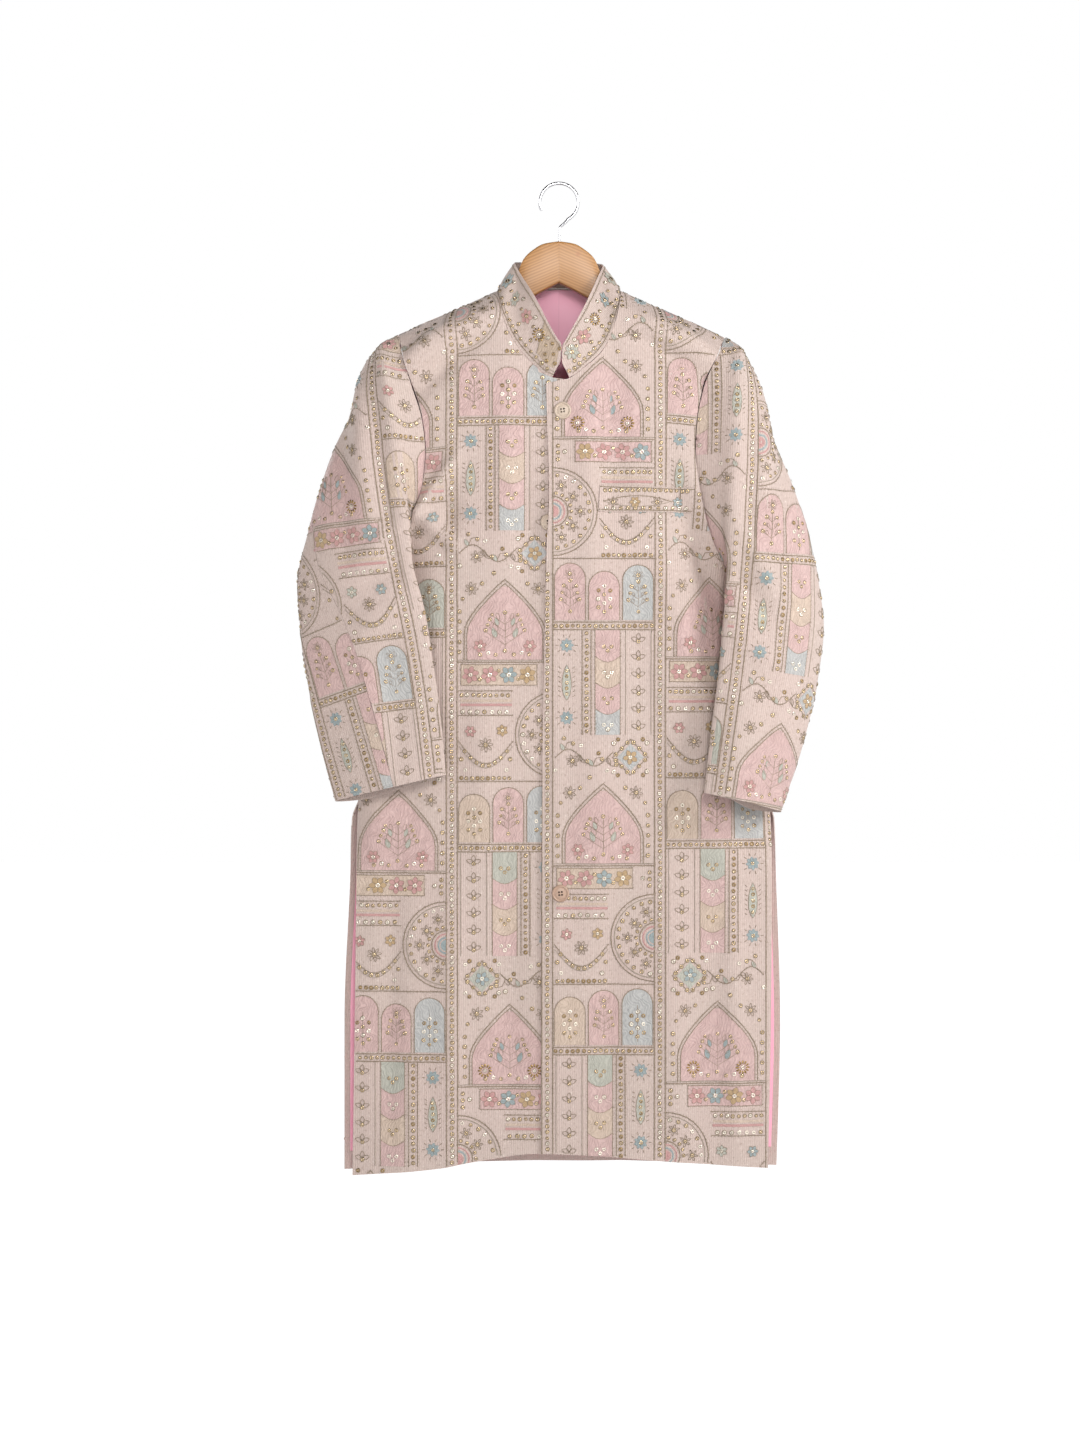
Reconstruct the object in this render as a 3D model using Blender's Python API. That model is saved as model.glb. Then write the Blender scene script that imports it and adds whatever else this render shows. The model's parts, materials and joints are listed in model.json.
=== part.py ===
"""Sherwani coat on a wooden hanger.

Metres, +Z up, the front toward -Y and the viewer's right toward +X.
The world origin is the inside top of the hanger's hook, where a rail holds it.
The coat is cut as two fronts that overlap, a back with a lining, two-piece sleeves,
a band collar, a chest welt and three buttons.
Tables are in millimetres and are read as smooth curves between their rows.
"""
import math

import bmesh
import bpy
from mathutils import Vector

MM = 0.001
WALL = 2.0            # cloth wall of the shell, mm
LINING_WALL = 1.0     # lining wall, mm
SEAM = 0.2            # each piece stops this far short of a seam line, mm
LAP = 1.4             # half the step between the two fronts where they overlap, mm
SHOULDER_ROUND = 45.0 # how far below the shoulder line the cloth turns down, mm
SHOULDER_SLIP = 0.5    # this far below the shoulder line the front and back still meet, mm
SLIT_TOP = -735.0     # upper end of the side slits, mm
LINING_SHORT = 22.0   # the lining ends this far above the hem of the back, mm
LINING_SKIPS = (0, 2)              # rows of the back that the lining leaves out
LINING_SKIPS_ACROSS = (3, 5, 15, 17)
BUTTON_D = 20.5
BUTTON_T = 2.8
BUTTON_LIFT = 3.6     # how far the upper front rides over the middle button, mm
MIDDLE_BUTTON = (-12.0, -408.0)
# name, x, z, the front that it is sewn to
BUTTONS = (
    ("button_top", 4.0, -276.0, "over"),
    ("button_middle", -12.0, -408.0, "under"),
    ("button_low", 1.5, -848.0, "over"),
)
HOOK_WIRE = 4.0
HOOK_BEND = 23.0      # radius of the hook to the middle of its wire

# half depth of the hanging coat by height: z, front, back
DEPTH = [
    (-60, 28, 26), (-130, 32, 28), (-200, 41, 34), (-290, 48, 38), (-400, 50, 40), (-468, 50, 40),
    (-560, 46, 36), (-650, 41, 30), (-735, 36, 25), (-850, 30, 19), (-1000, 26, 15), (-1200, 24, 13),
]

# side line, above the underarm the line that the hanging section rounds to:
# z, front left, front right, back left, back right
SIDE = [
    (-180, 250, 250, 250, 250), (-300, 236, 236, 236, 236), (-400, 216, 216, 216, 216),
    (-468, 203, 203, 203, 203), (-520, 205, 205, 205, 205),
    (-580, 212, 214, 212, 214), (-650, 223, 228, 223, 228), (-735, 239, 248, 239, 248),
    (-760, 241, 253, 248, 258), (-850, 242, 254, 252, 262), (-1000, 244, 253, 258, 266),
    (-1200, 247, 249, 258, 261),
]

# armhole as seen from the front: z, left, right, and the same for the back
ARMHOLE = [
    (-181, 192, 199, 192, 199), (-205, 186, 189, 187, 190), (-243, 175, 172, 178, 177),
    (-285, 162, 163, 170, 170), (-320, 158, 161, 167, 167), (-357, 161, 164, 168, 168),
    (-395, 169, 171, 174, 174), (-430, 181, 182, 184, 184), (-456, 194, 195, 195, 195),
    (-468, 203, 203, 203, 203),
]

# front edges by height: z, edge of the upper front, edge of the lower front
CENTRE = [
    (-235, -16, 17), (-300, -14, 18), (-375, -12, 20), (-443, -15, 18),
    (-713, -20, 14), (-1165, -22, 12),
]

# hems by x: x, front, back
HEM = [
    (-260, -1187, -1182), (-144, -1177, -1177), (-107, -1170, -1174), (-22, -1159, -1172),
    (69, -1163, -1172), (112, -1167, -1173), (260, -1178, -1177),
]

# neckline of the fronts: distance from the middle, z on the left, z on the right
NECKLINE = [
    (0, -237, -240), (10, -236, -238), (30, -221, -224), (52, -196, -203),
    (68, -160, -165), (74, -128, -128),
]
BACK_NECK = [(0, -121), (25, -122), (50, -124.5), (74, -128)]

# collar top edge from the front end to the middle of the back: share, x, y, z
COLLAR_LEFT = [
    (0.0, 2.0, -50, -198), (0.12, -11, -46, -175), (0.28, -29, -36, -139),
    (0.45, -46, -14, -109), (0.58, -53, 0, -94), (0.8, -36, 23, -89), (1.0, 0, 31, -87),
]
COLLAR_RIGHT = [
    (0.0, 4.2, -50, -199), (0.12, 13, -46, -182), (0.28, 31, -36, -148),
    (0.45, 46, -14, -113), (0.58, 52.5, 0, -97), (0.8, 36, 23, -90), (1.0, 0, 31, -87),
]
# the collar's two front ends by share of its height: x of the left end, x of the right end
COLLAR_ENDS = [(0.0, -8.0, 12.0), (0.25, -3.6, 7.6), (0.5, 1.4, 3.2), (0.75, 2.2, 3.2), (1.0, 2.0, 4.2)]
COLLAR_ROWS = 4
COLLAR_LIFT = 1.9     # the collar starts this far above the neckline, mm

# heights of the rows down a body panel, as z on its outer edge
BODY_ROWS = [
    -183, -187, -193, -201, -212, -226, -243, -264, -290, -320, -350, -380, -408, -434,
    -455, -468, -505, -550, -600, -650, -700, -735, -760, -800, -860, -930, -1010, -1090, -1180,
]

NECK_ROW = 9          # body row that starts at the top of the front edge

# soft folds of the skirt: x, half width, depth, upper end, lower end, side
FOLDS = [
    (-186, 26, 3.2, -720, -1190, "front"), (-92, 22, -2.4, -840, -1190, "front"),
    (78, 24, 2.6, -800, -1190, "front"), (176, 28, -3.0, -700, -1190, "front"),
    (-150, 40, 3.0, -640, -1190, "back"), (30, 44, -3.2, -560, -1190, "back"),
    (168, 36, 3.2, -700, -1190, "back"),
]

# sleeve sections: each row gives front seam A, front fold F, outer line O, back seam B
# and how far the front face and the back face stand out from the flat
SLEEVE_RIGHT = [
    ((199, -15, -187), (202, -7, -185.5), (203, 3, -185.5), (199, 15, -187), 0.5, 0.5),
    ((190.5, -29, -206), (216, -27, -203), (221, -2, -208), (191.5, 27, -206), 3, 4),
    ((173, -38, -243), (215.4, -46, -240), (236, -6, -246), (178.5, 35, -243), 7, 9),
    ((163, -44, -300), (213, -57, -298), (257, -10, -304), (169.5, 39, -300), 10, 14),
    ((165.5, -45, -357), (209.7, -62, -359), (278, -13, -362), (169.5, 39, -357), 13, 18),
    ((176, -42, -412), (206, -63, -412), (297, -14, -420), (179, 37, -412), 15, 22),
    ((207, 0, -471), (202, -60, -462), (309.4, -14, -476), (207, 0, -471), 18, 25),
    ((217, -9, -518), (198, -60, -515), (315.4, -17, -530), (217, -9, -518), 19, 24),
    ((218, -22, -580), (192, -60, -577), (308, -20, -594), (218, -22, -580), 20, 22),
    ((212, -36, -652), (182.4, -62, -647), (291, -25, -667), (212, -36, -652), 21, 20),
    ((204, -44, -736), (172.4, -66, -728), (262.8, -34, -751), (204, -44, -736), 21, 18),
]
SLEEVE_LEFT = [
    ((-192, -15, -184), (-195, -7, -182.5), (-196, 3, -182.5), (-192, 15, -184), 0.5, 0.5),
    ((-187.5, -29, -205), (-213, -27, -200), (-221, -2, -206), (-188.5, 27, -205), 3, 4),
    ((-176, -38, -243), (-208, -46, -238), (-239, -6, -243), (-179.5, 35, -243), 7, 9),
    ((-160, -44, -300), (-199.2, -57, -303), (-263, -10, -304), (-168.5, 39, -300), 10, 14),
    ((-162.5, -45, -357), (-192, -62, -357), (-283, -13, -360), (-169.5, 39, -357), 13, 18),
    ((-174, -42, -412), (-183, -63, -412), (-299, -14, -417), (-179, 37, -412), 15, 22),
    ((-207, 0, -471), (-175, -62, -462), (-312, -14, -476), (-207, 0, -471), 17, 24),
    ((-210, -12, -518), (-161, -61, -515), (-309, -17, -528), (-210, -12, -518), 16, 20),
    ((-204, -29, -578), (-151.4, -59, -574), (-301, -22, -588), (-204, -29, -578), 15, 15),
    ((-196, -39, -648), (-142, -57, -640), (-286, -29, -660), (-196, -39, -648), 14, 11),
    ((-186, -46, -722), (-136, -56, -707), (-265, -36, -738), (-186, -46, -722), 13, 8),
]
SLEEVE_ROWS = [0, 0.5, 1, 1.5, 2, 2.5, 3, 3.5, 4, 4.5, 5, 5.5, 5.8, 6, 6.5, 7, 7.5, 8, 8.5, 9, 9.5, 10]
# height on the armhole seam where each sleeve row begins and ends
CAP_SEAM = [
    (0, -188), (1, -207), (2, -243), (3, -300), (4, -357), (5, -412), (5.5, -444), (5.8, -460), (6, -468),
]
CAP_OFF = 1.5         # the sleeve starts this far outside the armhole edge, mm
UNDER_FROM = 5        # row of the list above where the under sleeve begins at the armhole
# place of the hind-arm seam round the section by row: row, left sleeve, right sleeve
# 4 is the outer line, 6 is the back seam, 2 is the front fold
HIND_SEAM = [
    (2, 5.9, 5.9), (3, 5.1, 5.4), (4, 4.2, 5.0), (6, 3.4, 4.9), (8, 3.05, 4.8), (10, 2.9, 4.8),
]

# chest welt corners on the upper front: x and z of each corner
WELT = ((48, -364), (160, -367), (158, -396), (46, -395.5))
WELT_WALL = 1.2

# top and underside of the hanger: distance from the middle, top, underside, half thickness
HANGER = [
    (0, -68, -118, 6.5), (18, -71, -127, 6.5), (34, -80.5, -136, 6.5), (42, -88.5, -140, 6.5),
    (46, -96, -143, 6.5), (50, -106, -146, 6.5), (55, -117, -150, 6.5), (61, -128, -153, 6.5),
    (76, -135.5, -162, 6.5), (100, -145, -173, 8), (135, -160.5, -188, 9), (165, -173.8, -200, 9.5),
    (184, -184, -206, 9.5),
]


def ease(share):
    """Smooth step from 0 to 1."""
    share = min(max(share, 0.0), 1.0)
    return share * share * (3.0 - 2.0 * share)


def read(table, at, column=1):
    """Read a table as a smooth curve; its first column may rise or fall."""
    rows = sorted(table, key=lambda row: row[0])
    if at <= rows[0][0]:
        return float(rows[0][column])
    if at >= rows[-1][0]:
        return float(rows[-1][column])
    slopes = []
    for i in range(len(rows) - 1):
        slopes.append((rows[i + 1][column] - rows[i][column]) / (rows[i + 1][0] - rows[i][0]))
    tangents = [slopes[0]]
    for i in range(1, len(rows) - 1):
        if slopes[i - 1] * slopes[i] <= 0.0:
            tangents.append(0.0)
        else:
            tangents.append(2.0 * slopes[i - 1] * slopes[i] / (slopes[i - 1] + slopes[i]))
    tangents.append(slopes[-1])
    for i in range(len(rows) - 1):
        if at <= rows[i + 1][0]:
            span = rows[i + 1][0] - rows[i][0]
            t = (at - rows[i][0]) / span
            a = rows[i][column]
            b = rows[i + 1][column]
            ta = tangents[i] * span
            tb = tangents[i + 1] * span
            t2 = t * t
            t3 = t2 * t
            start = (2 * t3 - 3 * t2 + 1) * a + (t3 - 2 * t2 + t) * ta
            return start + (3 * t2 - 2 * t3) * b + (t3 - t2) * tb
    return float(rows[-1][column])


def shoulder_line(x):
    """Height of the shoulder line, carried on over the neck."""
    return -128.0 - 0.447 * (abs(x) - 74.0)


def half_width(x, z, side):
    """Half width of the panel's hanging section at this height."""
    left = x < 0.0
    if side == "front":
        return read(SIDE, z, 1 if left else 2)
    return read(SIDE, z, 3 if left else 4)


def depth_at(x, z, side):
    """How far the panel's middle surface stands from the plane of the hanger."""
    deep = read(DEPTH, z, 1 if side == "front" else 2)
    wide = half_width(x, z, side)
    share = min(abs(x) / wide, 1.0)
    closed = math.sqrt(max(0.0, 1.0 - share ** 3))
    hung = 1.0 - 0.42 * share ** 4
    slit = ease((SLIT_TOP - z) / 95.0)
    round_side = closed * (1.0 - slit) + hung * slit
    below = max(0.0, shoulder_line(x) - z - SHOULDER_SLIP)
    over = 1.0
    if below < SHOULDER_ROUND:
        over = math.sqrt(max(0.0, 1.0 - (1.0 - below / SHOULDER_ROUND) ** 2))
    out = deep * round_side * over
    for fold_x, fold_w, fold_d, upper, lower, fold_side in FOLDS:
        if fold_side == side:
            across = math.exp(-((x - fold_x) / fold_w) ** 2)
            out += fold_d * across * ease((upper - z) / (upper - lower))
    return out


def lap_at(x):
    """Share of the overlap step that the front keeps at this x."""
    return 1.0 - ease((abs(x) - 34.0) / 50.0)


def body_point(x, z, piece):
    """A point of a body panel's middle surface."""
    if piece in ("back", "lining"):
        return Vector((x, depth_at(x, z, "back"), z))
    y = -depth_at(x, z, "front")
    if piece == "over":
        y -= LAP * lap_at(x)
        aside = ((x - MIDDLE_BUTTON[0]) / 32.0) ** 2 + ((z - MIDDLE_BUTTON[1]) / 45.0) ** 2
        y -= BUTTON_LIFT * math.exp(-aside)
    if piece == "under":
        y += LAP * lap_at(x)
    return Vector((x, y, z))


def along(points, share):
    """A point at a share of the length of a chain of points."""
    lengths = [0.0]
    for a, b in zip(points, points[1:]):
        lengths.append(lengths[-1] + math.dist(a, b))
    at = share * lengths[-1]
    for i in range(len(points) - 1):
        if at <= lengths[i + 1] or i == len(points) - 2:
            t = (at - lengths[i]) / max(lengths[i + 1] - lengths[i], 1e-9)
            a = points[i]
            b = points[i + 1]
            return tuple(a[k] + (b[k] - a[k]) * t for k in range(len(a)))
    return points[-1]


def outer_x(z, sign, side):
    """Outer edge of a body panel: the armhole above the underarm, the side below it."""
    column = (1 if sign < 0 else 2) if side == "front" else (3 if sign < 0 else 4)
    if z > -468.0:
        return sign * read(ARMHOLE, z, column)
    return sign * read(SIDE, z, column)


def ruled_patch(bottom, inner, outer, columns, rows):
    """Rows run straight from the inner to the outer edge; the lowest ones bend to the hem."""
    hem_0 = Vector(bottom(0.0))
    hem_1 = Vector(bottom(1.0))
    grid = []
    for index, v in enumerate(rows):
        left = Vector(inner(index, v))
        right = Vector(outer(v))
        bend = ease(1.0 - v / 0.3)
        line = []
        for u in columns:
            sag = Vector(bottom(u)) - hem_0.lerp(hem_1, u)
            line.append(left.lerp(right, u) + sag * bend)
        grid.append(line)
    return grid


def side_shares(count):
    """Shares across a half panel, closer together toward its outer edge."""
    return [0.45 * (i / count) + 0.55 * math.sin(0.5 * math.pi * i / count) for i in range(count + 1)]


def body_row_shares():
    """Height of each body row as a share of the panel's outer edge."""
    return [(z - BODY_ROWS[-1]) / (BODY_ROWS[0] - BODY_ROWS[-1]) for z in BODY_ROWS]


def front_panel(piece, sign, columns):
    """Grid of one front, from the shoulder down, from the front edge outward."""
    edge = 1 if piece == "over" else 2
    neck_column = 1 if sign < 0 else 2
    start_x = read(CENTRE, -235.0, edge)
    neck = []
    for i in range(49):
        x = start_x + (sign * 74.0 - start_x) * i / 48.0
        z = read(NECKLINE, abs(x), neck_column)
        if x * sign < 0.0:
            z = read(NECKLINE, 0.0, neck_column) - 0.2 * abs(x)
        neck.append((x, z))
    tip_z = shoulder_line(outer_x(-181.0, sign, "front"))
    neck_z = neck[0][1]
    hem_z = read(HEM, sign * 247.0, 1)
    hem_x = outer_x(hem_z, sign, "front")
    low_x = read(CENTRE, -1165.0, edge)
    low_z = read(HEM, low_x, 1)
    rows = body_row_shares()
    corner = rows[NECK_ROW]

    def bottom(u):
        x = low_x + (hem_x - low_x) * u
        return x, read(HEM, x, 1)

    def inner(index, v):
        if index < NECK_ROW:
            return along(neck, 1.0 - (index / NECK_ROW) ** 1.25)
        z = low_z + (neck_z - low_z) * v / corner
        return read(CENTRE, z, edge), z

    def outer(v):
        z = hem_z + (tip_z - hem_z) * v
        return outer_x(z, sign, "front"), z

    flat = ruled_patch(bottom, inner, outer, side_shares(columns), rows)
    return [[body_point(p[0], p[1], piece) for p in line] for line in flat]


def back_panel(piece, columns):
    """Grid of the back, from the shoulder down, from left to right."""
    halves = []
    rows = body_row_shares()
    neck_low = read(BACK_NECK, 0.0)
    for sign in (-1, 1):
        tip_z = shoulder_line(outer_x(-181.0, sign, "back"))
        tip_x = outer_x(-181.0, sign, "back")
        hem_z = read(HEM, sign * 260.0, 2)
        hem_x = outer_x(hem_z, sign, "back")
        top = [(sign * 74.0 * i / 12.0, read(BACK_NECK, 74.0 * i / 12.0)) for i in range(13)]
        top += [
            (sign * 74.0 + (tip_x - sign * 74.0) * i / 12.0,
             shoulder_line(sign * 74.0 + (tip_x - sign * 74.0) * i / 12.0)) for i in range(1, 13)
        ]
        grid = []
        for v in rows:
            z_edge = hem_z + (tip_z - hem_z) * v
            edge = Vector((outer_x(z_edge, sign, "back"), z_edge))
            middle = Vector((0.0, read(HEM, 0.0, 2) + (neck_low - read(HEM, 0.0, 2)) * v))
            bend = ease(1.0 - v / 0.3)
            line = []
            for u in side_shares(columns):
                crown = Vector(along(top, u)) - Vector((0.0, neck_low)).lerp(Vector((tip_x, tip_z)), u)
                sag = Vector((hem_x * u, read(HEM, hem_x * u, 2)))
                sag -= Vector((0.0, read(HEM, 0.0, 2))).lerp(Vector((hem_x, hem_z)), u)
                line.append(middle.lerp(edge, u) + crown * v ** 3 + sag * bend)
            grid.append(line)
        halves.append(grid)
    grid = []
    for left, right in zip(halves[0], halves[1]):
        line = list(reversed(left)) + right[1:]
        grid.append([body_point(p[0], p[1], piece) for p in line])
    return grid


def grid_normals(grid, outward, wrap=False):
    """Normals of a grid of points, turned to the side that outward names."""
    rows = len(grid)
    cols = len(grid[0])
    normals = []
    for r in range(rows):
        line = []
        for c in range(cols):
            up = grid[max(r - 1, 0)][c]
            down = grid[min(r + 1, rows - 1)][c]
            if wrap:
                before = grid[r][(c - 1) % cols]
                after = grid[r][(c + 1) % cols]
            else:
                before = grid[r][max(c - 1, 0)]
                after = grid[r][min(c + 1, cols - 1)]
            n = (after - before).cross(down - up)
            if n.length < 1e-9:
                n = Vector(outward)
            line.append(n.normalized())
        normals.append(line)
    return normals


def mesh_object(name, verts, faces, material):
    """One named solid with its faces turned out."""
    mesh = bpy.data.meshes.new(name)
    mesh.from_pydata([tuple(v * MM for v in p) for p in verts], [], faces)
    mesh.update()
    work = bmesh.new()
    work.from_mesh(mesh)
    bmesh.ops.recalc_face_normals(work, faces=work.faces)
    if work.calc_volume(signed=True) < 0.0:
        bmesh.ops.reverse_faces(work, faces=work.faces)
    work.to_mesh(mesh)
    work.free()
    mesh.materials.append(material)
    obj = bpy.data.objects.new(name, mesh)
    bpy.context.scene.collection.objects.link(obj)
    return obj


def wall(name, grid, normals, thick, material):
    """A closed wall of even thickness about a grid's middle surface."""
    rows = len(grid)
    cols = len(grid[0])
    verts = []
    for side in (0.5, -0.5):
        for r in range(rows):
            for c in range(cols):
                verts.append(grid[r][c] + normals[r][c] * (thick * side))
    layer = rows * cols
    faces = []
    for r in range(rows - 1):
        for c in range(cols - 1):
            a = r * cols + c
            for half in ((a, a + 1, a + cols + 1), (a, a + cols + 1, a + cols)):
                faces.append(half)
                faces.append(tuple(layer + i for i in reversed(half)))
    rim = [c for c in range(cols)]
    rim += [r * cols + cols - 1 for r in range(1, rows)]
    rim += [(rows - 1) * cols + c for c in range(cols - 2, -1, -1)]
    rim += [r * cols for r in range(rows - 2, 0, -1)]
    for a, b in zip(rim, rim[1:] + rim[:1]):
        faces.append((b, a, layer + a, layer + b))
    return mesh_object(name, verts, faces, material)


def inset(grid, top=0.0, bottom=0.0, left=0.0, right=0.0):
    """Draw a grid's edges in by the given distances along the cloth."""
    def draw(edge, inner, amount):
        step = inner - edge
        if amount > 0.0 and step.length > 1e-6:
            return edge + step.normalized() * min(amount, step.length * 0.6)
        return edge.copy()
    out = [[p.copy() for p in line] for line in grid]
    for r, line in enumerate(out):
        line[0] = draw(grid[r][0], grid[r][1], left)
        line[-1] = draw(grid[r][-1], grid[r][-2], right)
    first = [p.copy() for p in out[0]]
    last = [p.copy() for p in out[-1]]
    for c in range(len(grid[0])):
        out[0][c] = draw(first[c], out[1][c], top)
        out[-1][c] = draw(last[c], out[-2][c], bottom)
    return out


def flatten_seam_normals(grid, normals, rows=(), shoulder=False, sides=()):
    """Keep the wall's rim in the seam plane where front and back meet."""
    if shoulder:
        for c, n in enumerate(normals[0]):
            if abs(grid[0][c].x) >= 73.0:
                flat = Vector((n.x, 0.0, n.z))
                if flat.length > 0.2:
                    normals[0][c] = flat.normalized()
    for c in sides:
        for r in rows:
            n = normals[r][c]
            flat = Vector((n.x, 0.0, n.z))
            if flat.length > 0.2:
                normals[r][c] = flat.normalized()


def spline_point(points, at):
    """A point of the smooth curve through points, at a position counted in points."""
    i = min(int(at), len(points) - 2)
    t = at - i
    p1 = points[i]
    p2 = points[i + 1]
    p0 = points[i - 1] if i > 0 else p1 + (p1 - p2) * 0.6
    p3 = points[i + 2] if i + 2 < len(points) else p2 + (p2 - p1) * 0.6
    return 0.5 * ((2 * p1) + (p2 - p0) * t + (2 * p0 - 5 * p1 + 4 * p2 - p3) * t * t
                  + (3 * p1 - p0 - 3 * p2 + p3) * t * t * t)


def sleeve_key(table, row, index):
    """One corner of the sleeve's section at a row, read smoothly down the sleeve."""
    if index >= 4:
        return read([(k, entry[index]) for k, entry in enumerate(table)], row)
    key = []
    for axis in range(3):
        key.append(read([(k, entry[index][axis]) for k, entry in enumerate(table)], row))
    return Vector(key)


def cap_point(row, sign, side):
    """Where a sleeve row meets the armhole, a little outside its edge."""
    z = read(CAP_SEAM, row)
    x = outer_x(z, sign, side)
    p = body_point(x, z, "back" if side == "back" else "plain")
    near = ease((row - 5.0) / 1.0)
    p.x += sign * (CAP_OFF + 2.5 * near)
    p.z -= 2.0 * near
    return p


def sleeve_section(table, row, sign):
    """Seven points round the section: A, mid, F, mid, O, mid, B."""
    if row < 6.0:
        a = cap_point(row, sign, "front")
        b = cap_point(row, sign, "back")
    else:
        a = sleeve_key(table, row, 0)
        b = a.copy()
    f = sleeve_key(table, row, 1)
    o = sleeve_key(table, row, 2)
    front_out = sleeve_key(table, row, 4)
    back_out = sleeve_key(table, row, 5)
    m1 = (a + f) * 0.5
    m1.y += 6.0 * ease((row - 6.0) / 1.5)
    chord = o - f
    face = Vector((-chord.y * sign, chord.x * sign, 0.0))
    if face.y > 0.0:
        face = -face
    face = face.normalized() if face.length > 1e-6 else Vector((0, -1, 0))
    m2 = (f + o) * 0.5 + face * front_out
    tail = b - o
    rear = Vector((-tail.y, tail.x, 0.0))
    if rear.y < 0.0:
        rear = -rear
    rear = rear.normalized() if rear.length > 1e-6 else Vector((0, 1, 0))
    m3 = (o + b) * 0.5 + rear * back_out
    m3.z -= 5.0 * ease((row - 8.0) / 2.0)
    return [a, m1, f, m2, o, m3, b]


def sleeve_pieces(table, sign, hind_column, upper_columns, under_columns):
    """Grids and normals of the upper and the under sleeve, armhole at the top."""
    def ring_point(row, at):
        return spline_point(sleeve_section(table, row, sign), at)

    def normal_at(row, at):
        step = 0.02
        low = max(at - step, 0.0)
        high = min(at + step, 6.0)
        across = ring_point(row, high) - ring_point(row, low)
        up = max(row - step, 0.0)
        down = min(row + step, 10.0)
        length = ring_point(down, at) - ring_point(up, at)
        n = across.cross(length)
        return n.normalized() if n.length > 1e-12 else Vector((sign, 0, 0))

    upper_at = []
    for row in SLEEVE_ROWS:
        end = read(HIND_SEAM, row, hind_column) if row >= SLEEVE_ROWS[UNDER_FROM] else 6.0
        upper_at.append([end * i / upper_columns for i in range(upper_columns + 1)])
    under_at = []
    for index, row in enumerate(SLEEVE_ROWS):
        if index < UNDER_FROM - 1:
            continue
        start = read(HIND_SEAM, row, hind_column) if index >= UNDER_FROM else 5.93
        places = [start + (6.0 - start) * i / under_columns for i in range(under_columns + 1)]
        under_at.append((row, places))
    upper_at[UNDER_FROM - 1] = [5.93 * i / upper_columns for i in range(upper_columns + 1)]
    def seam_normal(row, at):
        n = normal_at(row, at)
        if row >= 6.0 and (at < 1e-6 or at > 6.0 - 1e-6):
            n = (normal_at(row, 0.0) + normal_at(row, 6.0)).normalized()
        return n

    upper = [[ring_point(row, at) for at in shares] for row, shares in zip(SLEEVE_ROWS, upper_at)]
    upper_n = [[seam_normal(row, at) for at in shares] for row, shares in zip(SLEEVE_ROWS, upper_at)]
    under = [[ring_point(row, at) for at in shares] for row, shares in under_at]
    under_n = [[seam_normal(row, at) for at in shares] for row, shares in under_at]
    return upper, upper_n, under, under_n


def collar_grid(columns):
    """The band collar from its left front end round the back to its right front end."""
    def base_point(sign, share):
        front_share = 0.58
        if share <= front_share:
            x = (7.8 if sign < 0 else 12.0)
            x = sign * (x + (74.0 - x) * (share / front_share) ** 0.9)
            z = read(NECKLINE, abs(x), 1 if sign < 0 else 2)
            return body_point(x, z, "under" if sign < 0 else "over")
        t = (share - front_share) / (1.0 - front_share)
        x = sign * 74.0 * (1.0 - t)
        return body_point(x, read(BACK_NECK, abs(x)), "back")

    rows = COLLAR_ROWS
    grid = [[] for _ in range(rows + 1)]
    for c in range(columns + 1):
        at = -1.0 + 2.0 * c / columns
        sign = -1 if at < 0.0 else 1
        share = 1.0 - abs(at)
        table = COLLAR_LEFT if sign < 0 else COLLAR_RIGHT
        base = base_point(sign, share)
        top = Vector([read(table, share, axis) for axis in (1, 2, 3)])
        rise = (top - base).normalized()
        for r in range(rows + 1):
            t = r / rows
            p = base.lerp(top, t)
            out = Vector((p.x, p.y - 2.0, 0.0)).normalized()
            p += out * (1.5 * math.sin(math.pi * t))
            if r == 0:
                p += rise * COLLAR_LIFT * (1.0 + 0.35 * ease(1.0 - share / 0.3))
            if c in (0, columns):
                p.x = read(COLLAR_ENDS, t, 1 if sign < 0 else 2)
            grid[r].append(p)
    return grid


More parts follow.
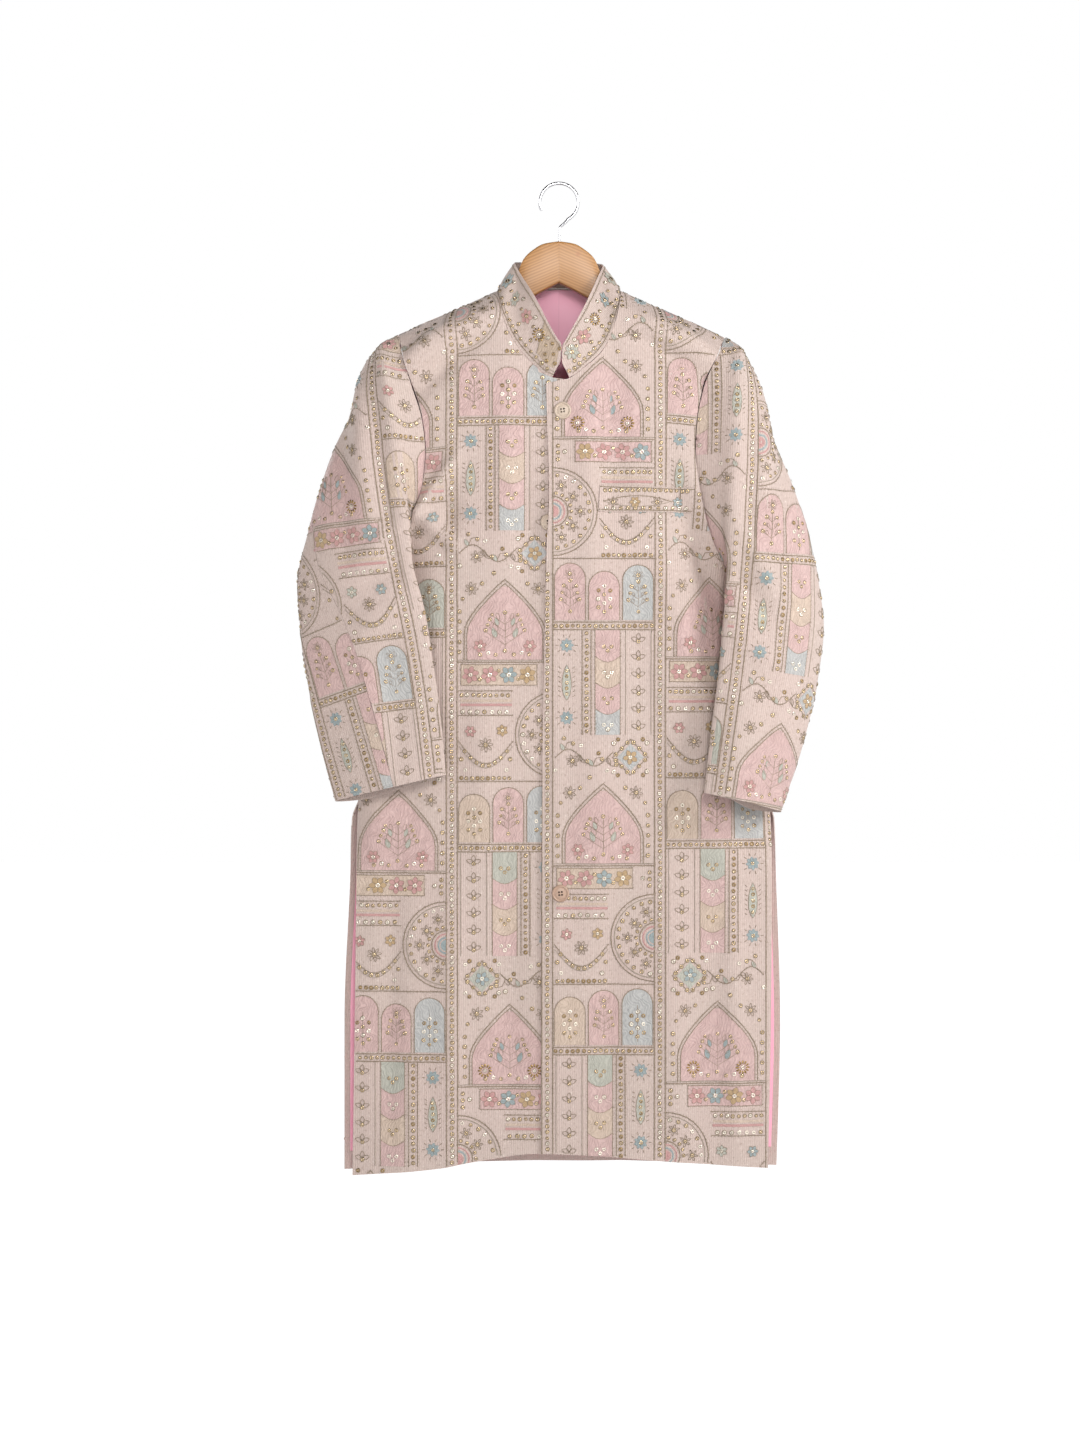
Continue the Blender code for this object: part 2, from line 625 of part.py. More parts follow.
def disc_object(name, centre, facing, radius, thick, holes, rim, material):
    """A round button with four holes, a raised rim and bevelled edges."""
    sides = 24
    hole_sides = 8
    work = bmesh.new()
    turn = Vector((0, 0, 1)).rotation_difference(facing).to_matrix()
    rings = [(radius - 0.5, -thick / 2), (radius, -thick / 2 + 0.5), (radius, thick / 2 - 0.5),
             (radius - 0.6, thick / 2), (radius - rim, thick / 2), (radius - rim - 0.6, thick / 2 - 0.7)]
    built = []
    for ring_radius, height in rings:
        line = []
        for i in range(sides):
            a = 2 * math.pi * (i + 0.5) / sides
            line.append(work.verts.new((ring_radius * math.cos(a), ring_radius * math.sin(a), height)))
        built.append(line)
    for low, high in zip(built, built[1:]):
        for i in range(sides):
            j = (i + 1) % sides
            work.faces.new((low[i], low[j], high[j], high[i]))
    work.faces.new(list(reversed(built[0])))
    work.faces.new(built[-1])
    mesh = bpy.data.meshes.new(name)
    work.to_mesh(mesh)
    work.free()
    mesh.materials.append(material)
    obj = bpy.data.objects.new(name, mesh)
    bpy.context.scene.collection.objects.link(obj)
    cutters = []
    for i in range(4):
        a = math.pi / 4 + i * math.pi / 2
        cut = bmesh.new()
        bmesh.ops.create_cone(cut, cap_ends=True, segments=hole_sides, radius1=holes, radius2=holes,
                              depth=thick * 3)
        bmesh.ops.translate(cut, verts=cut.verts, vec=(2.1 * math.cos(a), 2.1 * math.sin(a), 0.0))
        cut_mesh = bpy.data.meshes.new(name + "_hole")
        cut.to_mesh(cut_mesh)
        cut.free()
        cutter = bpy.data.objects.new(name + "_hole", cut_mesh)
        bpy.context.scene.collection.objects.link(cutter)
        cutters.append(cutter)
        boolean = obj.modifiers.new("hole", "BOOLEAN")
        boolean.operation = "DIFFERENCE"
        boolean.solver = "EXACT"
        boolean.object = cutter
    bpy.context.view_layer.update()
    cut_result = bpy.data.meshes.new_from_object(obj.evaluated_get(bpy.context.evaluated_depsgraph_get()))
    obj.modifiers.clear()
    obj.data = cut_result
    for cutter in cutters:
        bpy.data.objects.remove(cutter, do_unlink=True)
    for v in obj.data.vertices:
        v.co = (turn @ v.co + centre) * MM
    obj.data.update()
    if not obj.data.materials:
        obj.data.materials.append(material)
    return obj


def hanger_object(material):
    """The arched wooden hanger with its notch, two mitred halves as one body."""
    stations = [(-row[0], row[1], row[2], row[3]) for row in reversed(HANGER)] + list(HANGER[1:])
    verts = []
    faces = []
    profile = 10
    for x, top, low, half in stations:
        middle = 0.5 * (top + low)
        tall = 0.5 * (top - low)
        soft = 3.0
        high = middle + tall
        bottom = middle - tall
        ring = [
            (-half, bottom + soft), (-half, high - soft), (-half + 1.0, high - 1.0), (-half + soft, high),
            (half - soft, high), (half - 1.0, high - 1.0), (half, high - soft), (half, bottom + soft),
            (half - soft, bottom), (-half + soft, bottom),
        ]
        for y, z in ring:
            verts.append(Vector((x, y, z)))
    count = len(stations)
    for s in range(count - 1):
        for i in range(profile):
            j = (i + 1) % profile
            faces.append((s * profile + i, s * profile + j, (s + 1) * profile + j, (s + 1) * profile + i))
    faces.append(tuple(range(profile)))
    faces.append(tuple((count - 1) * profile + i for i in reversed(range(profile))))
    return mesh_object("hanger_wood", verts, faces, material)


def hook_object(material):
    """The bent wire hook, its stem ending just above the wood."""
    radius = HOOK_WIRE / 2.0
    centre = Vector((0.0, 0.0, -(HOOK_BEND - radius)))
    path = []
    for i in range(17):
        a = math.radians(205.0 - i * (205.0 + 62.0) / 16.0)
        path.append(centre + Vector((HOOK_BEND * math.cos(a), 0.0, HOOK_BEND * math.sin(a))))
    path.append(Vector((3.2, 0.0, -45.5)))
    path.append(Vector((1.0, 0.0, -50.5)))
    path.append(Vector((0.6, 0.0, -58.0)))
    path.append(Vector((0.6, 0.0, -67.7)))
    sides = 10
    verts = []
    faces = []
    for i, p in enumerate(path):
        before = path[max(i - 1, 0)]
        after = path[min(i + 1, len(path) - 1)]
        run = (after - before).normalized()
        flat = Vector((0, 1, 0))
        across = run.cross(flat).normalized()
        size = radius
        if i >= len(path) - 3:
            size = radius * 0.75
        for k in range(sides):
            a = 2 * math.pi * k / sides
            verts.append(p + (flat * math.cos(a) + across * math.sin(a)) * size)
    for s in range(len(path) - 1):
        for i in range(sides):
            j = (i + 1) % sides
            faces.append((s * sides + i, s * sides + j, (s + 1) * sides + j, (s + 1) * sides + i))
    faces.append(tuple(reversed(range(sides))))
    faces.append(tuple((len(path) - 1) * sides + i for i in range(sides)))
    return mesh_object("hanger_hook", verts, faces, material)


def material(name, colour, roughness, metallic=0.0):
    """A plain surface with one colour."""
    mat = bpy.data.materials.new(name)
    mat.use_nodes = True
    surface = mat.node_tree.nodes["Principled BSDF"]
    surface.inputs["Base Color"].default_value = (*colour, 1.0)
    surface.inputs["Roughness"].default_value = roughness
    surface.inputs["Metallic"].default_value = metallic
    mat.diffuse_color = (*colour, 1.0)
    return mat


def main():
    for obj in list(bpy.data.objects):
        bpy.data.objects.remove(obj, do_unlink=True)

    shades = {}
    tones = {
        "front_over": 0.0, "front_under": 0.01, "back_left": -0.01, "back_right": -0.012,
        "collar": 0.02, "chest_welt": 0.025,
        "sleeve_upper_left": 0.015, "sleeve_under_left": -0.005,
        "sleeve_upper_right": 0.012, "sleeve_under_right": -0.008,
    }
    for name, tone in tones.items():
        shades[name] = material("cloth_" + name, (0.74 + tone, 0.60 + tone, 0.55 + tone), 0.85)
    pink = material("lining_satin", (0.76, 0.31, 0.43), 0.45)
    wood = material("hanger_maple", (0.73, 0.45, 0.18), 0.5)
    chrome = material("hook_chrome", (0.72, 0.72, 0.73), 0.18, 1.0)
    cream = material("button_cream", (0.82, 0.74, 0.64), 0.35)

    over = inset(front_panel("over", 1, 12), top=SEAM, right=SEAM)
    under = inset(front_panel("under", -1, 12), top=SEAM, right=SEAM)
    back = inset(back_panel("back", 10), top=SEAM, left=SEAM, right=SEAM)
    body_rows = [i for i, z in enumerate(BODY_ROWS) if SLIT_TOP - 10.0 <= z <= -468.0]

    over_n = grid_normals(over, (0, -1, 0))
    flatten_seam_normals(over, over_n, body_rows, True, (-1,))
    wall("front_over", over, over_n, WALL, shades["front_over"])
    under_n = grid_normals(under, (0, -1, 0))
    flatten_seam_normals(under, under_n, body_rows, True, (-1,))
    wall("front_under", under, under_n, WALL, shades["front_under"])
    back_n = grid_normals(back, (0, 1, 0))
    flatten_seam_normals(back, back_n, body_rows, True, (0, -1))
    middle = len(back[0]) // 2
    for half, first, last in (("left", 0, middle + 1), ("right", middle, len(back[0]))):
        part = [line[first:last] for line in back]
        part_n = [line[first:last] for line in back_n]
        if half == "left":
            part = inset(part, right=SEAM)
        else:
            part = inset(part, left=SEAM)
        wall("back_" + half, part, part_n, WALL, shades["back_" + half])

    facing_in = -1.0 if back_n[14][10].y > 0.0 else 1.0
    inward = []
    for r, line in enumerate(back):
        if r in LINING_SKIPS:
            continue
        gap = 1.8 if -490.0 < BODY_ROWS[r] < -425.0 else 0.9
        inward.append([p + back_n[r][c] * (facing_in * (WALL / 2 + LINING_WALL / 2 + gap))
                       for c, p in enumerate(line) if c not in LINING_SKIPS_ACROSS])
    lining = inset(inward, top=2.0, bottom=LINING_SHORT, left=4.0, right=4.0)
    lining_n = grid_normals(lining, (0, -1, 0))
    middle = len(lining[0]) // 2
    for half, first, last in (("left", 0, middle + 1), ("right", middle, len(lining[0]))):
        part = [line[first:last] for line in lining]
        part_n = [line[first:last] for line in lining_n]
        if half == "left":
            part = inset(part, right=SEAM)
        else:
            part = inset(part, left=SEAM)
        wall("back_lining_" + half, part, part_n, LINING_WALL, pink)

    for side, sign, table, column in (("left", -1, SLEEVE_LEFT, 1), ("right", 1, SLEEVE_RIGHT, 2)):
        upper, upper_n, lower, lower_n = sleeve_pieces(table, sign, column, 16, 9)
        upper = inset(upper, top=1.2, left=SEAM, right=SEAM)
        lower = inset(lower, top=SEAM, left=SEAM, right=SEAM)
        wall("sleeve_upper_" + side, upper, upper_n, WALL, shades["sleeve_upper_" + side])
        wall("sleeve_under_" + side, lower, lower_n, WALL, shades["sleeve_under_" + side])

    band = collar_grid(32)
    wall("collar", band, grid_normals(band, (0, -1, 0)), WALL, shades["collar"])

    welt_grid = []
    for r in range(3):
        line = []
        for c in range(6):
            u = c / 5.0
            v = r / 2.0
            corners = [Vector((x, 0.0, z)) for x, z in WELT]
            p = corners[0].lerp(corners[1], u).lerp(corners[3].lerp(corners[2], u), v)
            q = body_point(p.x, p.z, "over")
            q.y -= WALL / 2 + WELT_WALL / 2 + 0.35
            line.append(q)
        welt_grid.append(line)
    wall("chest_welt", welt_grid, grid_normals(welt_grid, (0, -1, 0)), WELT_WALL, shades["chest_welt"])

    for name, x, z, piece in BUTTONS:
        p = body_point(x, z, piece)
        lift = WALL / 2 + BUTTON_T / 2 + 0.5
        across = body_point(x + 6.0, z, piece) - body_point(x - 6.0, z, piece)
        upward = body_point(x, z + 8.0, piece) - body_point(x, z - 8.0, piece)
        facing = across.cross(upward).normalized()
        disc_object(name, p + facing * lift, facing, BUTTON_D / 2, BUTTON_T, 0.9, 2.2, cream)

    hanger_object(wood)
    hook_object(chrome)


main()
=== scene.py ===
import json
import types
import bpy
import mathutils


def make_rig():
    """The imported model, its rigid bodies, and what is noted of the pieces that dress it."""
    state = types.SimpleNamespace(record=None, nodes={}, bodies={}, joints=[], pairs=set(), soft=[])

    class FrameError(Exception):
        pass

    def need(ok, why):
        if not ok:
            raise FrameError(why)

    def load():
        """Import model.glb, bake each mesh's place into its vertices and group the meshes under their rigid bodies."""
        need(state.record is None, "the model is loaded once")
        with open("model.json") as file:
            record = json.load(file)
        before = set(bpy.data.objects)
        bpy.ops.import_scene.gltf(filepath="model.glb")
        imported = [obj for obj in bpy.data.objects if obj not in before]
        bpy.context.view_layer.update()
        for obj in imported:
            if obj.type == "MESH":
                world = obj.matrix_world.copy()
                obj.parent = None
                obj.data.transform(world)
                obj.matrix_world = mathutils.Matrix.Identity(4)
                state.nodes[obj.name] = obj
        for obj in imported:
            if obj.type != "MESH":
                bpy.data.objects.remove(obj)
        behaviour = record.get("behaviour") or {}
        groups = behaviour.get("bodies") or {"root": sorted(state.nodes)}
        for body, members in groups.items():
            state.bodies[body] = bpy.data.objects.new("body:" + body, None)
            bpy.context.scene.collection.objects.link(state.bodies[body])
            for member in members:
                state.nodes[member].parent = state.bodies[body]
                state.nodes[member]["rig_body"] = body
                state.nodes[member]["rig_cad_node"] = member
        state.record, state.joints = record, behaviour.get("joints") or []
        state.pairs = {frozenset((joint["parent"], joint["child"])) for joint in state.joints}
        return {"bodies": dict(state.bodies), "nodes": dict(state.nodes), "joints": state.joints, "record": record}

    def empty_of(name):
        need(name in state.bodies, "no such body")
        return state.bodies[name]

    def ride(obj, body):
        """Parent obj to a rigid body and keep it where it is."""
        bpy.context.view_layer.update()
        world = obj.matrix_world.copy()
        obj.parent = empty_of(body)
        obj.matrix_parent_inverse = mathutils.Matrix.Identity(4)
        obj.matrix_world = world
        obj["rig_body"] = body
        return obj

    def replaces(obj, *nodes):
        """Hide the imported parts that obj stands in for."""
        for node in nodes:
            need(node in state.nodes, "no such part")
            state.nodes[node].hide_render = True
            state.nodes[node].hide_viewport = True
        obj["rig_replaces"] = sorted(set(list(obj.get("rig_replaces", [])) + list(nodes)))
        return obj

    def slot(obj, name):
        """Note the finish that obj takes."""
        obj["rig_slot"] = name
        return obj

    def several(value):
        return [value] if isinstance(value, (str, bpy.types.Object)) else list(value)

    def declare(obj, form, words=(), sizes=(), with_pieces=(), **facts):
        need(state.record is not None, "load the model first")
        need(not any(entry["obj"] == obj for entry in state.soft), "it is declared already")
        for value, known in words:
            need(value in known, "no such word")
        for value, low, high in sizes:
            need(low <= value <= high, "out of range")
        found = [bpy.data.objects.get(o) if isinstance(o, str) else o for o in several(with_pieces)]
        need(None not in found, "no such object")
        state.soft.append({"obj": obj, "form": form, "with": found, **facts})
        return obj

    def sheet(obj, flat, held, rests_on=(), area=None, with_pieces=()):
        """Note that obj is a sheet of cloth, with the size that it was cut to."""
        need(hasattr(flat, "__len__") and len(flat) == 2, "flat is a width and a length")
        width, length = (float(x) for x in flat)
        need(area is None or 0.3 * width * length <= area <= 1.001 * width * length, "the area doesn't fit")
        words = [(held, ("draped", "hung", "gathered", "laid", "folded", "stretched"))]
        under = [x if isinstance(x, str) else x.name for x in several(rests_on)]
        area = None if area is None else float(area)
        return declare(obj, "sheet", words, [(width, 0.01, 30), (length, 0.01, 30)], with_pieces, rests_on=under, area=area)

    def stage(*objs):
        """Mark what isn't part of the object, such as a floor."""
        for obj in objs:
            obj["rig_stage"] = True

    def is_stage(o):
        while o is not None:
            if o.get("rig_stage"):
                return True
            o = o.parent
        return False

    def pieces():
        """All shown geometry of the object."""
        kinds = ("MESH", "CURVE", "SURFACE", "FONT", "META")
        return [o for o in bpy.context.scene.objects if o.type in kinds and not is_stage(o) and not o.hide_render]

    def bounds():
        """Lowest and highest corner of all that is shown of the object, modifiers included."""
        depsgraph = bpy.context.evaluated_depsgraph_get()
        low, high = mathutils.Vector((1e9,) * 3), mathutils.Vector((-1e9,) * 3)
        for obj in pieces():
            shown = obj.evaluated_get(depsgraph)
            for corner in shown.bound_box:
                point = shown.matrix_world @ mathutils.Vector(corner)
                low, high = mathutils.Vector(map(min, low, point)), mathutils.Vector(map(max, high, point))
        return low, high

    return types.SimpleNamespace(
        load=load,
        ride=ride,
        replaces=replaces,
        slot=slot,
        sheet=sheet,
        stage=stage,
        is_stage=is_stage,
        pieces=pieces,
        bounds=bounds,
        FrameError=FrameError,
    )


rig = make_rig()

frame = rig.load()

import json
import math
import random

import bmesh
import bpy
import numpy as np
from mathutils import Vector
from mathutils.bvhtree import BVHTree
from mathutils.kdtree import KDTree

cad_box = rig.bounds()

# Sizes in millimetres; the same driving tables as the CAD part
MM = 0.001
SHELL = 1.7           # thickness of the shown cloth shell
LINING_SHELL = 0.8
SEAM = 0.15
LAP = 1.4
SHOULDER_ROUND = 45.0
SHOULDER_SLIP = 0.5    # this far below the shoulder line the front and back still meet, mm
SLIT_TOP = -735.0
LINING_SHORT = 22.0
BUTTON_LIFT = 3.6
MIDDLE_BUTTON = (-12.0, -408.0)
BUTTON_D = 20.5
BUTTON_T = 2.8
HOOK_WIRE = 4.0
HOOK_BEND = 23.0

# half depth of the hanging coat by height: z, front, back
DEPTH = [
    (-60, 28, 26), (-130, 32, 28), (-200, 41, 34), (-290, 48, 38), (-400, 50, 40), (-468, 50, 40),
    (-560, 46, 36), (-650, 41, 30), (-735, 36, 25), (-850, 30, 19), (-1000, 26, 15), (-1200, 24, 13),
]
# side line, above the underarm the line that the section rounds to:
# z, front left, front right, back left, back right
SIDE = [
    (-180, 250, 250, 250, 250), (-300, 236, 236, 236, 236), (-400, 216, 216, 216, 216),
    (-468, 203, 203, 203, 203), (-520, 205, 205, 205, 205),
    (-580, 212, 214, 212, 214), (-650, 223, 228, 223, 228), (-735, 239, 248, 239, 248),
    (-760, 241, 253, 248, 258), (-850, 242, 254, 252, 262), (-1000, 244, 253, 258, 266),
    (-1200, 247, 249, 258, 261),
]
# armhole as seen from the front: z, left, right, and the same for the back
ARMHOLE = [
    (-181, 192, 199, 192, 199), (-205, 186, 189, 187, 190), (-243, 175, 172, 178, 177),
    (-285, 162, 163, 170, 170), (-320, 158, 161, 167, 167), (-357, 161, 164, 168, 168),
    (-395, 169, 171, 174, 174), (-430, 181, 182, 184, 184), (-456, 194, 195, 195, 195),
    (-468, 203, 203, 203, 203),
]
# front edges by height: z, edge of the upper front, edge of the lower front
CENTRE = [
    (-235, -16, 17), (-300, -14, 18), (-375, -12, 20), (-443, -15, 18),
    (-713, -20, 14), (-1165, -22, 12),
]
# hems by x: x, front, back
HEM = [
    (-260, -1187, -1182), (-144, -1177, -1177), (-107, -1170, -1174), (-22, -1159, -1172),
    (69, -1163, -1172), (112, -1167, -1173), (260, -1178, -1177),
]
# neckline of the fronts: distance from the middle, z on the left, z on the right
NECKLINE = [
    (0, -237, -240), (10, -236, -238), (30, -221, -224), (52, -196, -203),
    (68, -160, -165), (74, -128, -128),
]
BACK_NECK = [(0, -121), (25, -122), (50, -124.5), (74, -128)]
# collar top edge from the front end to the middle of the back: share, x, y, z
COLLAR_LEFT = [
    (0.0, 2.0, -50, -198), (0.12, -11, -46, -175), (0.28, -29, -36, -139),
    (0.45, -46, -14, -109), (0.58, -53, 0, -94), (0.8, -36, 23, -89), (1.0, 0, 31, -87),
]
COLLAR_RIGHT = [
    (0.0, 4.2, -50, -199), (0.12, 13, -46, -182), (0.28, 31, -36, -148),
    (0.45, 46, -14, -113), (0.58, 52.5, 0, -97), (0.8, 36, 23, -90), (1.0, 0, 31, -87),
]
# the collar's two front ends by share of its height: x of the left end, x of the right end
COLLAR_ENDS = [(0.0, -8.0, 12.0), (0.25, -3.6, 7.6), (0.5, 1.4, 3.2), (0.75, 2.2, 3.2), (1.0, 2.0, 4.2)]
COLLAR_LIFT = 0.7
# heights of the rows down a body panel, as z on its outer edge
BODY_ROWS = [
    -183, -187, -193, -201, -212, -226, -243, -264, -290, -320, -350, -380, -408, -434,
    -455, -468, -505, -550, -600, -650, -700, -735, -760, -800, -860, -930, -1010, -1090, -1180,
]
NECK_ROW = 9
# soft folds of the skirt: x, half width, depth, upper end, lower end, side
FOLDS = [
    (-186, 26, 3.2, -720, -1190, "front"), (-92, 22, -2.4, -840, -1190, "front"),
    (78, 24, 2.6, -800, -1190, "front"), (176, 28, -3.0, -700, -1190, "front"),
    (-150, 40, 3.0, -640, -1190, "back"), (30, 44, -3.2, -560, -1190, "back"),
    (168, 36, 3.2, -700, -1190, "back"),
]
# sleeve sections: front seam A, front fold F, outer line O, back seam B, and how far
# the front face and the back face stand out from the flat
SLEEVE_RIGHT = [
    ((199, -15, -187), (202, -7, -185.5), (203, 3, -185.5), (199, 15, -187), 0.5, 0.5),
    ((190.5, -29, -206), (216, -27, -203), (221, -2, -208), (191.5, 27, -206), 3, 4),
    ((173, -38, -243), (215.4, -46, -240), (236, -6, -246), (178.5, 35, -243), 7, 9),
    ((163, -44, -300), (213, -57, -298), (257, -10, -304), (169.5, 39, -300), 10, 14),
    ((165.5, -45, -357), (209.7, -62, -359), (278, -13, -362), (169.5, 39, -357), 13, 18),
    ((176, -42, -412), (206, -63, -412), (297, -14, -420), (179, 37, -412), 15, 22),
    ((207, 0, -471), (202, -60, -462), (309.4, -14, -476), (207, 0, -471), 18, 25),
    ((217, -9, -518), (198, -60, -515), (315.4, -17, -530), (217, -9, -518), 19, 24),
    ((218, -22, -580), (192, -60, -577), (308, -20, -594), (218, -22, -580), 20, 22),
    ((212, -36, -652), (182.4, -62, -647), (291, -25, -667), (212, -36, -652), 21, 20),
    ((204, -44, -736), (172.4, -66, -728), (262.8, -34, -751), (204, -44, -736), 21, 18),
]
SLEEVE_LEFT = [
    ((-192, -15, -184), (-195, -7, -182.5), (-196, 3, -182.5), (-192, 15, -184), 0.5, 0.5),
    ((-187.5, -29, -205), (-213, -27, -200), (-221, -2, -206), (-188.5, 27, -205), 3, 4),
    ((-176, -38, -243), (-208, -46, -238), (-239, -6, -243), (-179.5, 35, -243), 7, 9),
    ((-160, -44, -300), (-199.2, -57, -303), (-263, -10, -304), (-168.5, 39, -300), 10, 14),
    ((-162.5, -45, -357), (-192, -62, -357), (-283, -13, -360), (-169.5, 39, -357), 13, 18),
    ((-174, -42, -412), (-183, -63, -412), (-299, -14, -417), (-179, 37, -412), 15, 22),
    ((-207, 0, -471), (-175, -62, -462), (-312, -14, -476), (-207, 0, -471), 17, 24),
    ((-210, -12, -518), (-161, -61, -515), (-309, -17, -528), (-210, -12, -518), 16, 20),
    ((-204, -29, -578), (-151.4, -59, -574), (-301, -22, -588), (-204, -29, -578), 15, 15),
    ((-196, -39, -648), (-142, -57, -640), (-286, -29, -660), (-196, -39, -648), 14, 11),
    ((-186, -46, -722), (-136, -56, -707), (-265, -36, -738), (-186, -46, -722), 13, 8),
]
CAP_SEAM = [
    (0, -188), (1, -207), (2, -243), (3, -300), (4, -357), (5, -412), (5.5, -444), (5.8, -460), (6, -468),
]
CAP_OFF = 1.3
HIND_SEAM = [
    (2, 5.9, 5.9), (3, 5.1, 5.4), (4, 4.2, 5.0), (6, 3.4, 4.9), (8, 3.05, 4.8), (10, 2.9, 4.8),
]
WELT = ((48, -364), (160, -367), (158, -396), (46, -395.5))
HANGER = [
    (0, -68, -118, 6.5), (18, -71, -127, 6.5), (34, -80.5, -136, 6.5), (42, -88.5, -140, 6.5),
    (46, -96, -143, 6.5), (50, -106, -146, 6.5), (55, -117, -150, 6.5), (61, -128, -153, 6.5),
    (76, -135.5, -162, 6.5), (100, -145, -173, 8), (135, -160.5, -188, 9), (165, -173.8, -200, 9.5),
    (184, -184, -206, 9.5),
]

CREASE_DEPTH = 2.5


def ease(share):
    """Smooth step from 0 to 1."""
    share = min(max(share, 0.0), 1.0)
    return share * share * (3.0 - 2.0 * share)


_tangents = {}


def read(table, at, column=1):
    """Read a table as a smooth curve; its first column may rise or fall."""
    key = (id(table), column)
    if key not in _tangents:
        rows = sorted(table, key=lambda row: row[0])
        slopes = [(b[column] - a[column]) / (b[0] - a[0]) for a, b in zip(rows, rows[1:])]
        tangents = [slopes[0]]
        for a, b in zip(slopes, slopes[1:]):
            tangents.append(0.0 if a * b <= 0.0 else 2.0 * a * b / (a + b))
        tangents.append(slopes[-1])
        _tangents[key] = (rows, tangents, table)
    rows, tangents, _ = _tangents[key]
    if at <= rows[0][0]:
        return float(rows[0][column])
    if at >= rows[-1][0]:
        return float(rows[-1][column])
    i = 0
    while at > rows[i + 1][0]:
        i += 1
    span = rows[i + 1][0] - rows[i][0]
    t = (at - rows[i][0]) / span
    a = rows[i][column]
    b = rows[i + 1][column]
    t2 = t * t
    t3 = t2 * t
    return ((2 * t3 - 3 * t2 + 1) * a + (t3 - 2 * t2 + t) * tangents[i] * span
            + (3 * t2 - 2 * t3) * b + (t3 - t2) * tangents[i + 1] * span)


# Form of the body, as in the CAD part
def shoulder_line(x):
    return -128.0 - 0.447 * (abs(x) - 74.0)


def half_width(x, z, side):
    left = x < 0.0
    if side == "front":
        return read(SIDE, z, 1 if left else 2)
    return read(SIDE, z, 3 if left else 4)


def depth_at(x, z, side):
    """How far the panel's middle surface stands from the plane of the hanger."""
    deep = read(DEPTH, z, 1 if side == "front" else 2)
    share = min(abs(x) / half_width(x, z, side), 1.0)
    closed = math.sqrt(max(0.0, 1.0 - share ** 3))
    hung = 1.0 - 0.42 * share ** 4
    slit = ease((SLIT_TOP - z) / 95.0)
    round_side = closed * (1.0 - slit) + hung * slit
    below = max(0.0, shoulder_line(x) - z - SHOULDER_SLIP)
    over = 1.0
    if below < SHOULDER_ROUND:
        over = math.sqrt(max(0.0, 1.0 - (1.0 - below / SHOULDER_ROUND) ** 2))
    out = deep * round_side * over
    for fold_x, fold_w, fold_d, upper, lower, fold_side in FOLDS:
        if fold_side == side:
            out += fold_d * math.exp(-((x - fold_x) / fold_w) ** 2) * ease((upper - z) / (upper - lower))
    return out


def lap_at(x):
    return 1.0 - ease((abs(x) - 34.0) / 50.0)


def body_point(x, z, piece):
    """A point of a body panel's middle surface."""
    if piece == "back":
        return Vector((x, depth_at(x, z, "back"), z))
    y = -depth_at(x, z, "front")
    if piece == "over":
        y -= LAP * lap_at(x)
        aside = ((x - MIDDLE_BUTTON[0]) / 32.0) ** 2 + ((z - MIDDLE_BUTTON[1]) / 45.0) ** 2
        y -= BUTTON_LIFT * math.exp(-aside)
    if piece == "under":
        y += LAP * lap_at(x)
    return Vector((x, y, z))


def along(points, share):
    """A point at a share of the length of a chain of points."""
    lengths = [0.0]
    for a, b in zip(points, points[1:]):
        lengths.append(lengths[-1] + math.dist(a, b))
    at = share * lengths[-1]
    for i in range(len(points) - 1):
        if at <= lengths[i + 1] or i == len(points) - 2:
            t = (at - lengths[i]) / max(lengths[i + 1] - lengths[i], 1e-9)
            return tuple(points[i][k] + (points[i + 1][k] - points[i][k]) * t for k in range(len(points[i])))
    return points[-1]


def outer_x(z, sign, side):
    """Outer edge of a body panel: the armhole above the underarm, the side below it."""
    column = (1 if sign < 0 else 2) if side == "front" else (3 if sign < 0 else 4)
    if z > -468.0:
        return sign * read(ARMHOLE, z, column)
    return sign * read(SIDE, z, column)


def side_shares(count):
    return [0.45 * (i / count) + 0.55 * math.sin(0.5 * math.pi * i / count) for i in range(count + 1)]


def fine_rows(split):
    """Row places with each CAD row split: (row index with a fraction, share of the height)."""
    out = []
    last = len(BODY_ROWS) - 1
    for i in range(last * split + 1):
        at = i / split
        low = min(int(at), last - 1)
        z = BODY_ROWS[low] + (BODY_ROWS[low + 1] - BODY_ROWS[low]) * (at - low)
        out.append((at, (z - BODY_ROWS[-1]) / (BODY_ROWS[0] - BODY_ROWS[-1])))
    return out


